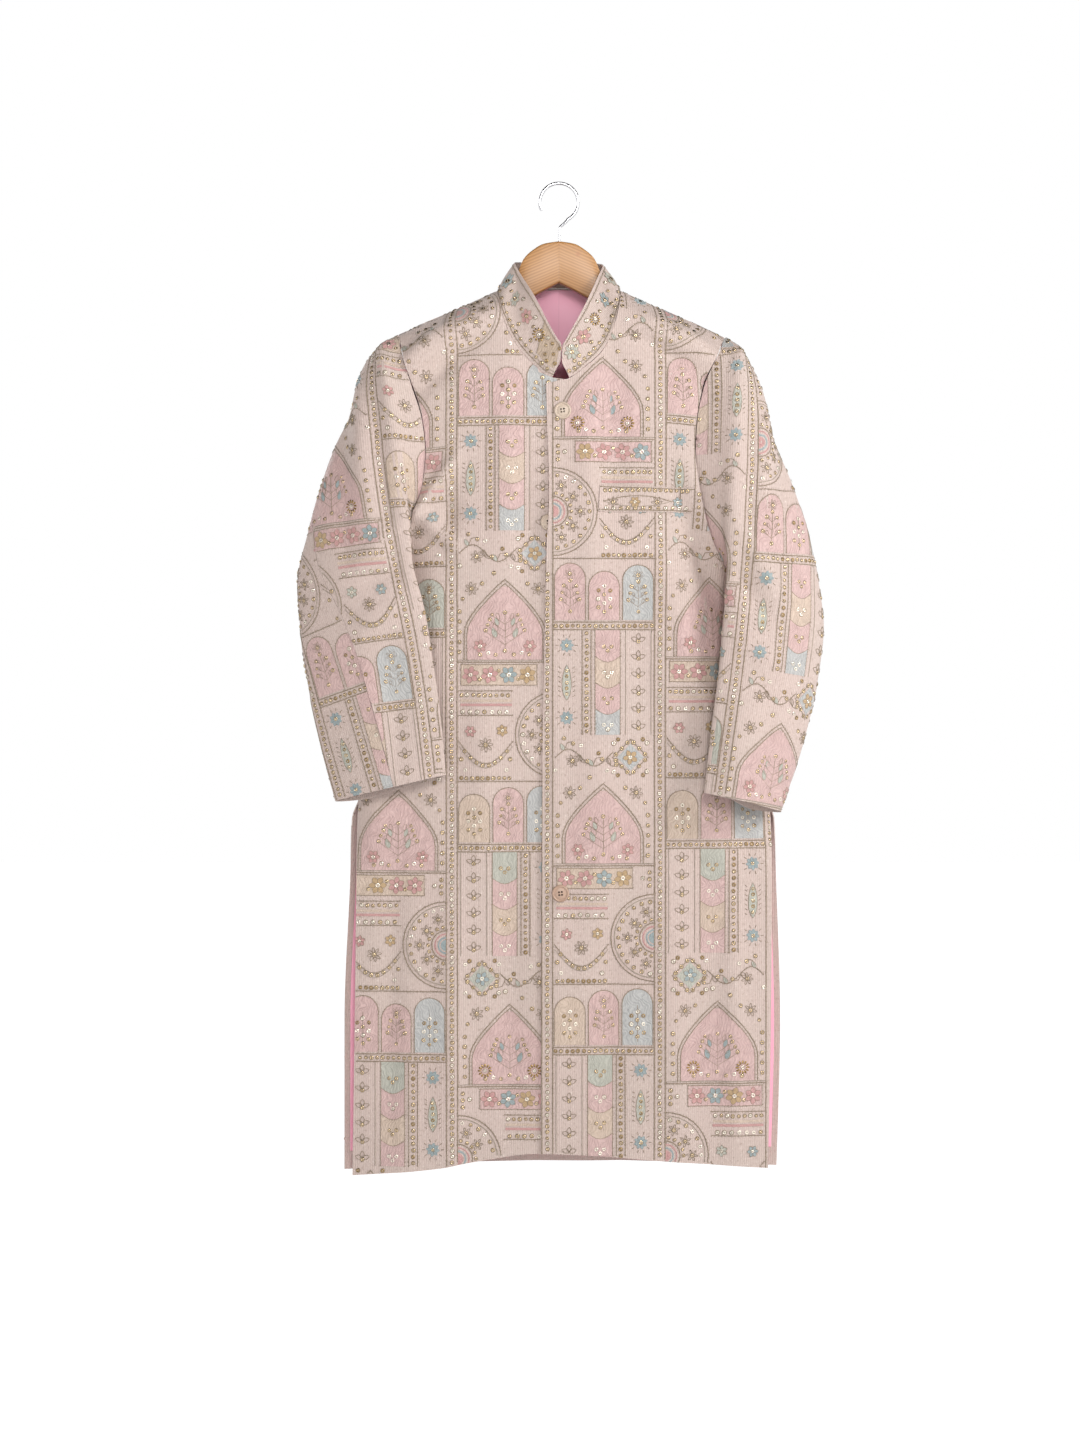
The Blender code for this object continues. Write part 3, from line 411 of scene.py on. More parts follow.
def front_panel(piece, sign, columns, split):
    """Middle surface of one front as rows of points, from the shoulder down."""
    edge = 1 if piece == "over" else 2
    neck_column = 1 if sign < 0 else 2
    start_x = read(CENTRE, -235.0, edge)
    neck = []
    for i in range(49):
        x = start_x + (sign * 74.0 - start_x) * i / 48.0
        z = read(NECKLINE, abs(x), neck_column)
        if x * sign < 0.0:
            z = read(NECKLINE, 0.0, neck_column) - 0.2 * abs(x)
        neck.append((x, z))
    tip_z = shoulder_line(outer_x(-181.0, sign, "front"))
    hem_z = read(HEM, sign * 247.0, 1)
    hem_x = outer_x(hem_z, sign, "front")
    low_x = read(CENTRE, -1165.0, edge)
    low_z = read(HEM, low_x, 1)
    rows = fine_rows(split)
    corner = (BODY_ROWS[NECK_ROW] - BODY_ROWS[-1]) / (BODY_ROWS[0] - BODY_ROWS[-1])
    grid = []
    for index, v in rows:
        if index < NECK_ROW:
            left = Vector(along(neck, 1.0 - (index / NECK_ROW) ** 1.25))
        else:
            z = low_z + (neck[0][1] - low_z) * v / corner
            left = Vector((read(CENTRE, z, edge), z))
        z = hem_z + (tip_z - hem_z) * v
        right = Vector((outer_x(z, sign, "front"), z))
        bend = ease(1.0 - v / 0.3)
        line = []
        for u in side_shares(columns):
            x = low_x + (hem_x - low_x) * u
            sag = Vector((x, read(HEM, x, 1))) - Vector((low_x, low_z)).lerp(Vector((hem_x, hem_z)), u)
            p = left.lerp(right, u) + sag * bend
            line.append(body_point(p.x, p.y, piece))
        grid.append(line)
    return grid


def back_panel(columns, split):
    """Middle surface of the back as rows of points, from left to right."""
    halves = []
    neck_low = read(BACK_NECK, 0.0)
    hem_mid = read(HEM, 0.0, 2)
    for sign in (-1, 1):
        tip_x = outer_x(-181.0, sign, "back")
        tip_z = shoulder_line(tip_x)
        hem_z = read(HEM, sign * 260.0, 2)
        hem_x = outer_x(hem_z, sign, "back")
        top = [(sign * 74.0 * i / 12.0, read(BACK_NECK, 74.0 * i / 12.0)) for i in range(13)]
        for i in range(1, 13):
            x = sign * 74.0 + (tip_x - sign * 74.0) * i / 12.0
            top.append((x, shoulder_line(x)))
        grid = []
        for _, v in fine_rows(split):
            z_edge = hem_z + (tip_z - hem_z) * v
            edge = Vector((outer_x(z_edge, sign, "back"), z_edge))
            middle = Vector((0.0, hem_mid + (neck_low - hem_mid) * v))
            bend = ease(1.0 - v / 0.3)
            line = []
            for u in side_shares(columns):
                crown = Vector(along(top, u)) - Vector((0.0, neck_low)).lerp(Vector((tip_x, tip_z)), u)
                sag = Vector((hem_x * u, read(HEM, hem_x * u, 2)))
                sag -= Vector((0.0, hem_mid)).lerp(Vector((hem_x, hem_z)), u)
                line.append(middle.lerp(edge, u) + crown * v ** 3 + sag * bend)
            grid.append(line)
        halves.append(grid)
    return [[body_point(p[0], p[1], "back") for p in list(reversed(a)) + b[1:]]
            for a, b in zip(halves[0], halves[1])]


# Form of the sleeves, as in the CAD part
def spline_point(points, at):
    i = min(int(at), len(points) - 2)
    t = at - i
    p1 = points[i]
    p2 = points[i + 1]
    p0 = points[i - 1] if i > 0 else p1 + (p1 - p2) * 0.6
    p3 = points[i + 2] if i + 2 < len(points) else p2 + (p2 - p1) * 0.6
    return 0.5 * ((2 * p1) + (p2 - p0) * t + (2 * p0 - 5 * p1 + 4 * p2 - p3) * t * t
                  + (3 * p1 - p0 - 3 * p2 + p3) * t * t * t)


def cap_point(row, sign, side):
    """Where a sleeve row meets the armhole, a little outside its edge."""
    z = read(CAP_SEAM, row)
    p = body_point(outer_x(z, sign, side), z, "back" if side == "back" else "plain")
    near = ease((row - 5.0) / 1.0)
    p.x += sign * (CAP_OFF + 2.5 * near)
    p.z -= 2.0 * near
    return p


def sleeve_columns(table):
    """The sleeve's table as one list for each number, so that each reads as a curve."""
    lists = {}
    for index in range(4):
        for axis in range(3):
            lists[(index, axis)] = [(k, row[index][axis]) for k, row in enumerate(table)]
    for index in (4, 5):
        lists[index] = [(k, row[index]) for k, row in enumerate(table)]
    return lists


def sleeve_section(lists, row, sign):
    """Seven points round the section: A, mid, F, mid, O, mid, B."""
    def key(index):
        return Vector([read(lists[(index, axis)], row) for axis in range(3)])
    if row < 6.0:
        a = cap_point(row, sign, "front")
        b = cap_point(row, sign, "back")
    else:
        a = key(0)
        b = a.copy()
    f = key(1)
    o = key(2)
    m1 = (a + f) * 0.5
    m1.y += 6.0 * ease((row - 6.0) / 1.5)
    chord = o - f
    face = Vector((-chord.y * sign, chord.x * sign, 0.0))
    if face.y > 0.0:
        face = -face
    face = face.normalized() if face.length > 1e-6 else Vector((0, -1, 0))
    m2 = (f + o) * 0.5 + face * read(lists[4], row)
    tail = b - o
    rear = Vector((-tail.y, tail.x, 0.0))
    if rear.y < 0.0:
        rear = -rear
    rear = rear.normalized() if rear.length > 1e-6 else Vector((0, 1, 0))
    m3 = (o + b) * 0.5 + rear * read(lists[5], row)
    m3.z -= 5.0 * ease((row - 8.0) / 2.0)
    return [a, m1, f, m2, o, m3, b]


def collar_grid(columns, rows):
    """Middle surface of the band collar, lowest row first."""
    def base_point(sign, share):
        front_share = 0.58
        if share <= front_share:
            x = (7.8 if sign < 0 else 12.0)
            x = sign * (x + (74.0 - x) * (share / front_share) ** 0.9)
            z = read(NECKLINE, abs(x), 1 if sign < 0 else 2)
            return body_point(x, z, "under" if sign < 0 else "over")
        x = sign * 74.0 * (1.0 - (share - front_share) / (1.0 - front_share))
        return body_point(x, read(BACK_NECK, abs(x)), "back")

    grid = [[] for _ in range(rows + 1)]
    for c in range(columns + 1):
        at = -1.0 + 2.0 * c / columns
        sign = -1 if at < 0.0 else 1
        share = 1.0 - abs(at)
        table = COLLAR_LEFT if sign < 0 else COLLAR_RIGHT
        base = base_point(sign, share)
        top = Vector([read(table, share, axis) for axis in (1, 2, 3)])
        rise = (top - base).normalized()
        for r in range(rows + 1):
            t = r / rows
            p = base.lerp(top, t)
            p += Vector((p.x, p.y - 2.0, 0.0)).normalized() * (1.5 * math.sin(math.pi * t))
            p += rise * (COLLAR_LIFT * (1.0 - t) ** 3)
            keep = ease(1.0 - share / 0.035)
            p.x += (read(COLLAR_ENDS, t, 1 if sign < 0 else 2) - p.x) * keep
            grid[r].append(p)
    return grid


def put_in_scene(name, data):
    obj = bpy.data.objects.new(name, data)
    bpy.context.scene.collection.objects.link(obj)
    return obj


def mesh_in_mm(name, verts, faces):
    mesh = bpy.data.meshes.new(name)
    mesh.from_pydata([tuple(c * MM for c in p) for p in verts], [], faces)
    mesh.update()
    return mesh


# Materials
CLOTH_TONE = 0.665     # how light cloth and thread are under these lights


def toned(colour):
    return tuple(c * CLOTH_TONE for c in colour)


def new_material(name):
    mat = bpy.data.materials.new(name)
    mat.use_nodes = True
    nodes = mat.node_tree.nodes
    return mat, nodes, mat.node_tree.links, nodes["Principled BSDF"]


def math_node(nodes, links, operation, a, b=None):
    node = nodes.new("ShaderNodeMath")
    node.operation = operation
    for index, value in enumerate((a, b)):
        if value is None:
            continue
        if isinstance(value, (int, float)):
            node.inputs[index].default_value = value
        else:
            links.new(value, node.inputs[index])
    return node.outputs[0]


def scaled(nodes, links, value, by):
    return math_node(nodes, links, "MULTIPLY", value, by)


def clamped(nodes, links, a, b):
    """What is left of a when b is taken away, kept between 0 and 1."""
    left = math_node(nodes, links, "SUBTRACT", a, b)
    left.node.use_clamp = True
    return left


def halved(nodes, links, wave):
    """A wave between -1 and 1, brought between 0 and 1."""
    out = math_node(nodes, links, "MULTIPLY_ADD", wave, 0.5)
    out.node.inputs[2].default_value = 0.5
    return out


def place_parts(nodes, links, socket):
    """The three parts of a place: on the cloth (UV), or in the object."""
    coords = nodes.new("ShaderNodeTexCoord")
    parts = nodes.new("ShaderNodeSeparateXYZ")
    links.new(coords.outputs[socket], parts.inputs[0])
    return parts


def eased_range(nodes, links, value, start, end, low, high):
    """A smooth change from low to high while the value goes from start to end."""
    node = nodes.new("ShaderNodeMapRange")
    node.interpolation_type = "SMOOTHSTEP"
    for socket, number in (("From Min", start), ("From Max", end), ("To Min", low), ("To Max", high)):
        node.inputs[socket].default_value = number
    links.new(value, node.inputs["Value"])
    return node.outputs[0]


def mix_colour(nodes, links, factor, a, b):
    node = nodes.new("ShaderNodeMix")
    node.data_type = "RGBA"
    for socket, value in ((node.inputs[0], factor), (node.inputs[6], a), (node.inputs[7], b)):
        if isinstance(value, (int, float)):
            socket.default_value = value
        elif isinstance(value, tuple):
            socket.default_value = (*value, 1.0)
        else:
            links.new(value, socket)
    return node.outputs[2]


def stain(nodes, links, where, amount, tint, colour):
    """A tint that turns to another colour by an amount where a pattern is strong."""
    return mix_colour(nodes, links, scaled(nodes, links, where, amount), tint, colour)


def noise(nodes, links, vector, scale, detail=2.0, roughness=0.5):
    node = nodes.new("ShaderNodeTexNoise")
    node.inputs["Scale"].default_value = scale
    node.inputs["Detail"].default_value = detail
    node.inputs["Roughness"].default_value = roughness
    links.new(vector, node.inputs["Vector"])
    return node.outputs["Fac"]


def stretched(nodes, links, scale, angle=0.0, socket="UV"):
    coords = nodes.new("ShaderNodeTexCoord")
    mapping = nodes.new("ShaderNodeMapping")
    mapping.inputs["Scale"].default_value = scale
    mapping.inputs["Rotation"].default_value = (0.0, 0.0, angle)
    links.new(coords.outputs[socket], mapping.inputs["Vector"])
    return mapping.outputs["Vector"]


def bump(nodes, links, surface, height, strength, distance):
    node = nodes.new("ShaderNodeBump")
    node.inputs["Strength"].default_value = strength
    node.inputs["Distance"].default_value = distance
    links.new(height, node.inputs["Height"])
    links.new(node.outputs["Normal"], surface.inputs["Normal"])


def cloth_material():
    """Pale ground cloth with fine upright cords and a soft uneven tint."""
    mat, nodes, links, surface = new_material("ground_cloth")
    parts = place_parts(nodes, links, "UV")
    wander = noise(nodes, links, stretched(nodes, links, (30, 4, 1)), 1.0, 1.0)
    shifted = math_node(nodes, links, "ADD", parts.outputs[0],
                        scaled(nodes, links, wander, 0.0015))
    cord = math_node(nodes, links, "SINE", scaled(nodes, links, shifted, 2 * math.pi / 0.0026))
    cord01 = halved(nodes, links, cord)
    fibre = noise(nodes, links, stretched(nodes, links, (2200, 260, 1)), 1.0, 2.0)
    weft = noise(nodes, links, stretched(nodes, links, (300, 2400, 1)), 1.0, 2.0)
    wide = noise(nodes, links, stretched(nodes, links, (9, 7, 1)), 1.0, 2.0)
    tint = mix_colour(nodes, links, wide, toned((0.82, 0.605, 0.55)), toned((0.74, 0.60, 0.525)))
    tint = stain(nodes, links, cord01, 0.28, tint, toned((0.52, 0.37, 0.31)))
    speck = scaled(nodes, links, math_node(nodes, links, "ADD", fibre, weft), 0.5)
    tint = stain(nodes, links, speck, 0.35, tint, toned((0.90, 0.79, 0.71)))
    marks = noise(nodes, links, stretched(nodes, links, (330, 240, 1)), 1.0, 3.0, 0.7)
    dark_mark = clamped(nodes, links, marks, 0.56)
    tint = stain(nodes, links, dark_mark, 4.2, tint, toned((0.44, 0.32, 0.25)))
    light_mark = clamped(nodes, links, 0.43, marks)
    tint = stain(nodes, links, light_mark, 3.6, tint, toned((1.05, 0.92, 0.85)))
    links.new(tint, surface.inputs["Base Color"])
    surface.inputs["Roughness"].default_value = 0.78
    surface.inputs["Sheen Weight"].default_value = 0.15
    height = math_node(nodes, links, "ADD", scaled(nodes, links, cord01, -0.6), speck)
    bump(nodes, links, surface, height, 0.6, 0.0006)
    return mat


def thread_material(name, colour, deep, pitch=0.0011, angle=0.0, contrast=0.75):
    """Rows of embroidery thread that wander, with a silky unevenness along them."""
    mat, nodes, links, surface = new_material(name)
    colour = toned(colour)
    deep = toned(deep)
    vector = stretched(nodes, links, (1, 1, 1), angle)
    parts = nodes.new("ShaderNodeSeparateXYZ")
    links.new(vector, parts.inputs[0])
    sway = noise(nodes, links, stretched(nodes, links, (60, 70, 1), angle), 1.0, 1.0)
    shifted = math_node(nodes, links, "ADD", parts.outputs[0],
                        scaled(nodes, links, sway, pitch * 5.5))
    row = math_node(nodes, links, "SINE", scaled(nodes, links, shifted, 2 * math.pi / pitch))
    row01 = halved(nodes, links, row)
    fine = math_node(nodes, links, "SINE",
                     scaled(nodes, links, shifted, 2 * math.pi / (pitch * 0.37)))
    broken = noise(nodes, links, stretched(nodes, links, (620, 150, 1), angle), 1.0, 2.0)
    patchy = noise(nodes, links, stretched(nodes, links, (90, 70, 1)), 1.0, 2.0)
    shade = stain(nodes, links, row01, contrast, colour, deep)
    shade = stain(nodes, links, broken, 0.55, shade, deep)
    marks = noise(nodes, links, stretched(nodes, links, (380, 210, 1), angle), 1.0, 3.0, 0.7)
    dark_mark = clamped(nodes, links, marks, 0.54)
    shade = stain(nodes, links, dark_mark, 4.0, shade, tuple(c * 0.6 for c in deep))
    light = tuple(min(1.0, c * 1.12 + 0.05) for c in colour)
    shade = stain(nodes, links, patchy, 0.55, shade, light)
    links.new(shade, surface.inputs["Base Color"])
    surface.inputs["Roughness"].default_value = 0.5
    surface.inputs["Sheen Weight"].default_value = 0.1
    height = math_node(nodes, links, "SUBTRACT", broken, row01)
    height = math_node(nodes, links, "ADD", height, scaled(nodes, links, fine, 0.3))
    bump(nodes, links, surface, height, 0.6, 0.0006)
    return mat


def metal_material(name, colour, roughness, metallic=1.0):
    mat, nodes, links, surface = new_material(name)
    wear = noise(nodes, links, stretched(nodes, links, (900, 900, 900), 0.0, "Object"), 1.0, 1.0)
    links.new(mix_colour(nodes, links, wear, colour, tuple(c * 0.8 for c in colour)),
              surface.inputs["Base Color"])
    surface.inputs["Metallic"].default_value = metallic
    surface.inputs["Roughness"].default_value = roughness
    return mat


def satin_material():
    mat, nodes, links, surface = new_material("pink_satin")
    weave = noise(nodes, links, stretched(nodes, links, (2600, 500, 1)), 1.0, 2.0)
    soft = noise(nodes, links, stretched(nodes, links, (12, 5, 1)), 1.0, 2.0)
    tint = mix_colour(nodes, links, soft, (0.98, 0.47, 0.60), (0.94, 0.42, 0.55))
    tint = stain(nodes, links, weave, 0.2, tint, (0.9, 0.5, 0.6))
    # painted shade: a darker line down the centre, where the two lining halves meet at their seam
    parts = place_parts(nodes, links, "Object")
    painted_seam_shade = math_node(nodes, links, "LESS_THAN", math_node(nodes, links, "ABSOLUTE", parts.outputs[0]), 0.0004)
    tint = stain(nodes, links, painted_seam_shade, 0.22, tint, (0.55, 0.18, 0.27))
    links.new(tint, surface.inputs["Base Color"])
    surface.inputs["Roughness"].default_value = 0.42
    surface.inputs["Sheen Weight"].default_value = 0.3
    bump(nodes, links, surface, weave, 0.12, 0.0003)
    return mat


def wood_material():
    """Pale wood whose grain runs down each mitred half, with a knot, a joint line and painted shade on its downward
    faces.
    """
    mat, nodes, links, surface = new_material("hanger_wood_grain")
    coords = nodes.new("ShaderNodeTexCoord")
    parts = nodes.new("ShaderNodeSeparateXYZ")
    links.new(coords.outputs["Object"], parts.inputs[0])
    half = math_node(nodes, links, "ABSOLUTE", parts.outputs[0])
    # the grain falls away from the joint, so it is followed in a turned frame
    slope = 0.42
    run = math_node(nodes, links, "MULTIPLY_ADD", half, slope)
    links.new(parts.outputs[2], run.node.inputs[2])
    joined = nodes.new("ShaderNodeCombineXYZ")
    links.new(scaled(nodes, links, half, 5.0), joined.inputs[0])
    links.new(scaled(nodes, links, run, 55.0), joined.inputs[2])
    links.new(scaled(nodes, links, parts.outputs[1], 20.0), joined.inputs[1])
    warp = noise(nodes, links, joined.outputs[0], 1.6, 3.0)
    rings = nodes.new("ShaderNodeTexWave")
    rings.wave_type = "BANDS"
    rings.bands_direction = "Z"
    rings.inputs["Scale"].default_value = 1.6
    rings.inputs["Distortion"].default_value = 2.4
    rings.inputs["Detail"].default_value = 3.0
    links.new(joined.outputs[0], rings.inputs["Vector"])
    fine = nodes.new("ShaderNodeCombineXYZ")
    links.new(scaled(nodes, links, half, 14.0), fine.inputs[0])
    links.new(scaled(nodes, links, run, 480.0), fine.inputs[2])
    pores = noise(nodes, links, fine.outputs[0], 1.0, 2.0)
    tint = mix_colour(nodes, links, rings.outputs["Fac"], (0.45, 0.225, 0.08), (0.27, 0.115, 0.032))
    tint = stain(nodes, links, warp, 0.4, tint, (0.53, 0.295, 0.12))
    tint = stain(nodes, links, pores, 0.45, tint, (0.36, 0.17, 0.05))
    knot = nodes.new("ShaderNodeVectorMath")
    knot.operation = "DISTANCE"
    links.new(coords.outputs["Object"], knot.inputs[0])
    knot.inputs[1].default_value = (0.0228, -0.0065, -0.084)
    near = clamped(nodes, links, 1.0, scaled(nodes, links, knot.outputs["Value"], 250.0))
    tint = stain(nodes, links, near, 0.8, tint, (0.33, 0.12, 0.04))
    joint = math_node(nodes, links, "LESS_THAN", half, 0.00025)
    tint = stain(nodes, links, joint, 0.5, tint, (0.25, 0.12, 0.05))
    # painted shade: the wood is tinted dark brown where its faces turn downward
    facing = nodes.new("ShaderNodeNewGeometry")
    painted_shade_facing = nodes.new("ShaderNodeSeparateXYZ")
    links.new(facing.outputs["Normal"], painted_shade_facing.inputs[0])
    under = scaled(nodes, links, painted_shade_facing.outputs[2], -1.3)
    under.node.use_clamp = True
    tint = stain(nodes, links, under, 0.75, tint, (0.27, 0.11, 0.035))
    links.new(tint, surface.inputs["Base Color"])
    surface.inputs["Roughness"].default_value = 0.42
    surface.inputs["Coat Weight"].default_value = 0.15
    surface.inputs["Coat Roughness"].default_value = 0.3
    bump(nodes, links, surface, pores, 0.1, 0.0003)
    return mat


def plain_material(name, colour, roughness):
    mat, nodes, links, surface = new_material(name)
    cloudy = noise(nodes, links, stretched(nodes, links, (180, 180, 180), 0.0, "Object"), 1.0, 2.0)
    links.new(mix_colour(nodes, links, cloudy, colour, tuple(c * 0.9 for c in colour)),
              surface.inputs["Base Color"])
    surface.inputs["Roughness"].default_value = roughness
    return mat


MATS = {
    "ground": cloth_material(),
    "satin": satin_material(),
    "wood": wood_material(),
    "chrome": metal_material("hook_chrome", (0.62, 0.62, 0.64), 0.16),
    "button": plain_material("button_cream", (0.54, 0.43, 0.34), 0.4),
    "button_low": plain_material("button_shell", (0.46, 0.31, 0.23), 0.4),
    # painted shade: a near-black thread colour, dark as the shade seen through the button holes
    "cotton": plain_material("button_thread", (0.10, 0.07, 0.05), 0.9),
    "pink": thread_material("thread_pink", (0.84, 0.58, 0.54), (0.60, 0.385, 0.36), 0.0042, 0.25),
    "rose": thread_material("thread_rose", (0.86, 0.48, 0.45), (0.66, 0.34, 0.32), 0.0014, 1.2),
    "blue": thread_material("thread_blue", (0.67, 0.65, 0.62), (0.43, 0.43, 0.43), 0.0042, -0.3),
    "peach": thread_material("thread_peach", (0.82, 0.64, 0.51), (0.60, 0.44, 0.34), 0.004, 0.2),
    "sage": thread_material("thread_sage", (0.65, 0.63, 0.54), (0.44, 0.43, 0.36), 0.0038, 0.1),
    "gold": thread_material("thread_gold", (0.76, 0.53, 0.30), (0.58, 0.37, 0.18), 0.0014, 0.5),
    "sky": thread_material("thread_sky", (0.50, 0.57, 0.57), (0.36, 0.44, 0.45), 0.0014, 0.9),
    "tan": thread_material("thread_tan", (0.70, 0.53, 0.39), (0.46, 0.33, 0.24), 0.003, 0.15),
    "line": thread_material("thread_line", (0.45, 0.34, 0.24), (0.31, 0.225, 0.15), 0.0012, 0.7, 0.4),
    "pale": thread_material("thread_pale", (0.58, 0.47, 0.37), (0.44, 0.34, 0.26), 0.0012, 0.7, 0.4),
    "ring_gold": metal_material("ring_gold", (0.62, 0.47, 0.28), 0.24),
    "ring_pale": metal_material("ring_pale", (0.84, 0.76, 0.64), 0.3),
    "ring_dark": metal_material("ring_dark", (0.36, 0.24, 0.10), 0.3),
}
RECORD_SLOT = "embroidered_cloth"


# Panels: a shell on its solid's form, with flat cloth coordinates for the work on it
class Panel:
    """A cut piece: rows of surface points in mm, with the flat place of each on the cloth."""

    def __init__(self, name, grid, flat, outward, creases=(), thickness=SHELL):
        self.name = name
        self.rows = len(grid)
        self.cols = len(grid[0])
        self.points = np.array([[tuple(p) for p in line] for line in grid])
        self.flat = np.array(flat, dtype=float)
        normals = self._normals()
        middle = normals[self.rows // 2, self.cols // 2]
        if np.dot(middle, outward) < 0.0:
            normals = -normals
        self.thickness = thickness
        if creases:
            self.points = self.points + normals * self._crease(creases)[..., None]
            fresh = self._normals()
            if np.dot(fresh[self.rows // 2, self.cols // 2], outward) < 0.0:
                fresh = -fresh
            normals = fresh
        self.normals = normals
        self.outer = self.points + normals * (thickness / 2)
        self.inner = self.points - normals * (thickness / 2)
        self._locator = None

    def _normals(self):
        rows = np.gradient(self.points, axis=0)
        cols = np.gradient(self.points, axis=1)
        n = np.cross(cols, rows)
        return n / np.maximum(np.linalg.norm(n, axis=2, keepdims=True), 1e-9)

    def _crease(self, creases):
        """Soft troughs and ridges along short lines on the flat cloth."""
        out = np.zeros(self.flat.shape[:2])
        for s0, t0, s1, t1, wide, deep in creases:
            a = np.array((s0, t0), dtype=float)
            run = np.array((s1 - s0, t1 - t0), dtype=float)
            length = np.linalg.norm(run)
            rel = self.flat - a
            at = (rel @ run) / (length * length)
            side = np.abs(rel[..., 0] * run[1] - rel[..., 1] * run[0]) / length
            past = np.maximum(np.maximum(-at, at - 1.0), 0.0) * length
            inside = np.clip(at, 0.0, 1.0)
            fade = 0.35 + 0.65 * np.sin(np.pi * inside) ** 0.8
            far = np.sqrt(side ** 2 + (past * 0.7) ** 2)
            out += CREASE_DEPTH * deep * fade * np.exp(-(far / wide) ** 2)
        return out

    def shell(self, outer_mat, inner_mat, slot=RECORD_SLOT, turned_in=0):
        """The piece as a thin closed shell, its flat cloth place kept as UV in metres."""
        rows, cols = self.rows, self.cols
        layer = rows * cols
        verts = np.concatenate([self.outer.reshape(-1, 3), self.inner.reshape(-1, 3)]) * MM
        flat = np.concatenate([self.flat.reshape(-1, 2), self.flat.reshape(-1, 2)]) * MM
        faces = []
        mats = []
        for r in range(rows - 1):
            for c in range(cols - 1):
                a = r * cols + c
                faces.append((a, a + 1, a + cols + 1, a + cols))
                mats.append(0)
        for r in range(rows - 1):
            for c in range(cols - 1):
                a = layer + r * cols + c
                faces.append((a + cols, a + cols + 1, a + 1, a))
                mats.append(2 if r >= rows - 1 - turned_in else 1)
        rim = list(range(cols)) + [r * cols + cols - 1 for r in range(1, rows)]
        rim += [(rows - 1) * cols + c for c in range(cols - 2, -1, -1)]
        rim += [r * cols for r in range(rows - 2, 0, -1)]
        for a, b in zip(rim, rim[1:] + rim[:1]):
            faces.append((b, a, layer + a, layer + b))
            mats.append(0)
        mesh = bpy.data.meshes.new(self.name + "_cloth")
        mesh.from_pydata(verts.tolist(), [], faces)
        mesh.update()
        uv = mesh.uv_layers.new(name="cloth")
        index = np.empty(len(mesh.loops), dtype=np.int32)
        mesh.loops.foreach_get("vertex_index", index)
        uv.data.foreach_set("uv", flat[index].astype(np.float32).ravel())
        for mat in (outer_mat, inner_mat, outer_mat):
            mesh.materials.append(mat)
        mesh.polygons.foreach_set("material_index", mats)
        work = bmesh.new()
        work.from_mesh(mesh)
        bmesh.ops.recalc_face_normals(work, faces=work.faces)
        if work.calc_volume(signed=True) < 0.0:
            bmesh.ops.reverse_faces(work, faces=work.faces)
        for edge in work.edges:
            edge.smooth = edge.calc_face_angle(0.0) < 1.0
        for face in work.faces:
            face.smooth = True
        work.to_mesh(mesh)
        work.free()
        obj = put_in_scene(self.name + "_cloth", mesh)
        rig.slot(obj, slot)
        return obj

    def area(self):
        """Area of the middle surface in square metres."""
        p = self.points
        a = p[1:, 1:] - p[:-1, :-1]
        b = p[1:, :-1] - p[:-1, 1:]
        return float(np.linalg.norm(np.cross(a, b), axis=2).sum() / 2.0) * MM * MM

    def locate(self, s, t):
        """Where a flat place lies on the outer face: point, normal, distance outside the piece."""
        if self._locator is None:
            cols = self.cols
            flat3 = [(a, b, 0.0) for a, b in self.flat.reshape(-1, 2)]
            faces = []
            for r in range(self.rows - 1):
                for c in range(cols - 1):
                    a = r * cols + c
                    faces.append((a, a + 1, a + cols + 1))
                    faces.append((a, a + cols + 1, a + cols))
            self._faces = faces
            self._flat = self.flat.reshape(-1, 2)
            self._out = self.outer.reshape(-1, 3)
            self._nor = self.normals.reshape(-1, 3)
            self._locator = BVHTree.FromPolygons(flat3, faces)
        near, _, index, distance = self._locator.find_nearest((s, t, 0.0))
        i, j, k = self._faces[index]
        a, b, c = self._flat[i], self._flat[j], self._flat[k]
        d = (b[0] - a[0]) * (c[1] - a[1]) - (c[0] - a[0]) * (b[1] - a[1])
        if abs(d) < 1e-9:
            return self._out[i], self._nor[i], distance
        w1 = ((near.x - a[0]) * (c[1] - a[1]) - (c[0] - a[0]) * (near.y - a[1])) / d
        w2 = ((b[0] - a[0]) * (near.y - a[1]) - (near.x - a[0]) * (b[1] - a[1])) / d
        w0 = 1.0 - w1 - w2
        point = self._out[i] * w0 + self._out[j] * w1 + self._out[k] * w2
        normal = self._nor[i] * w0 + self._nor[j] * w1 + self._nor[k] * w2
        return point, normal / max(np.linalg.norm(normal), 1e-9), distance


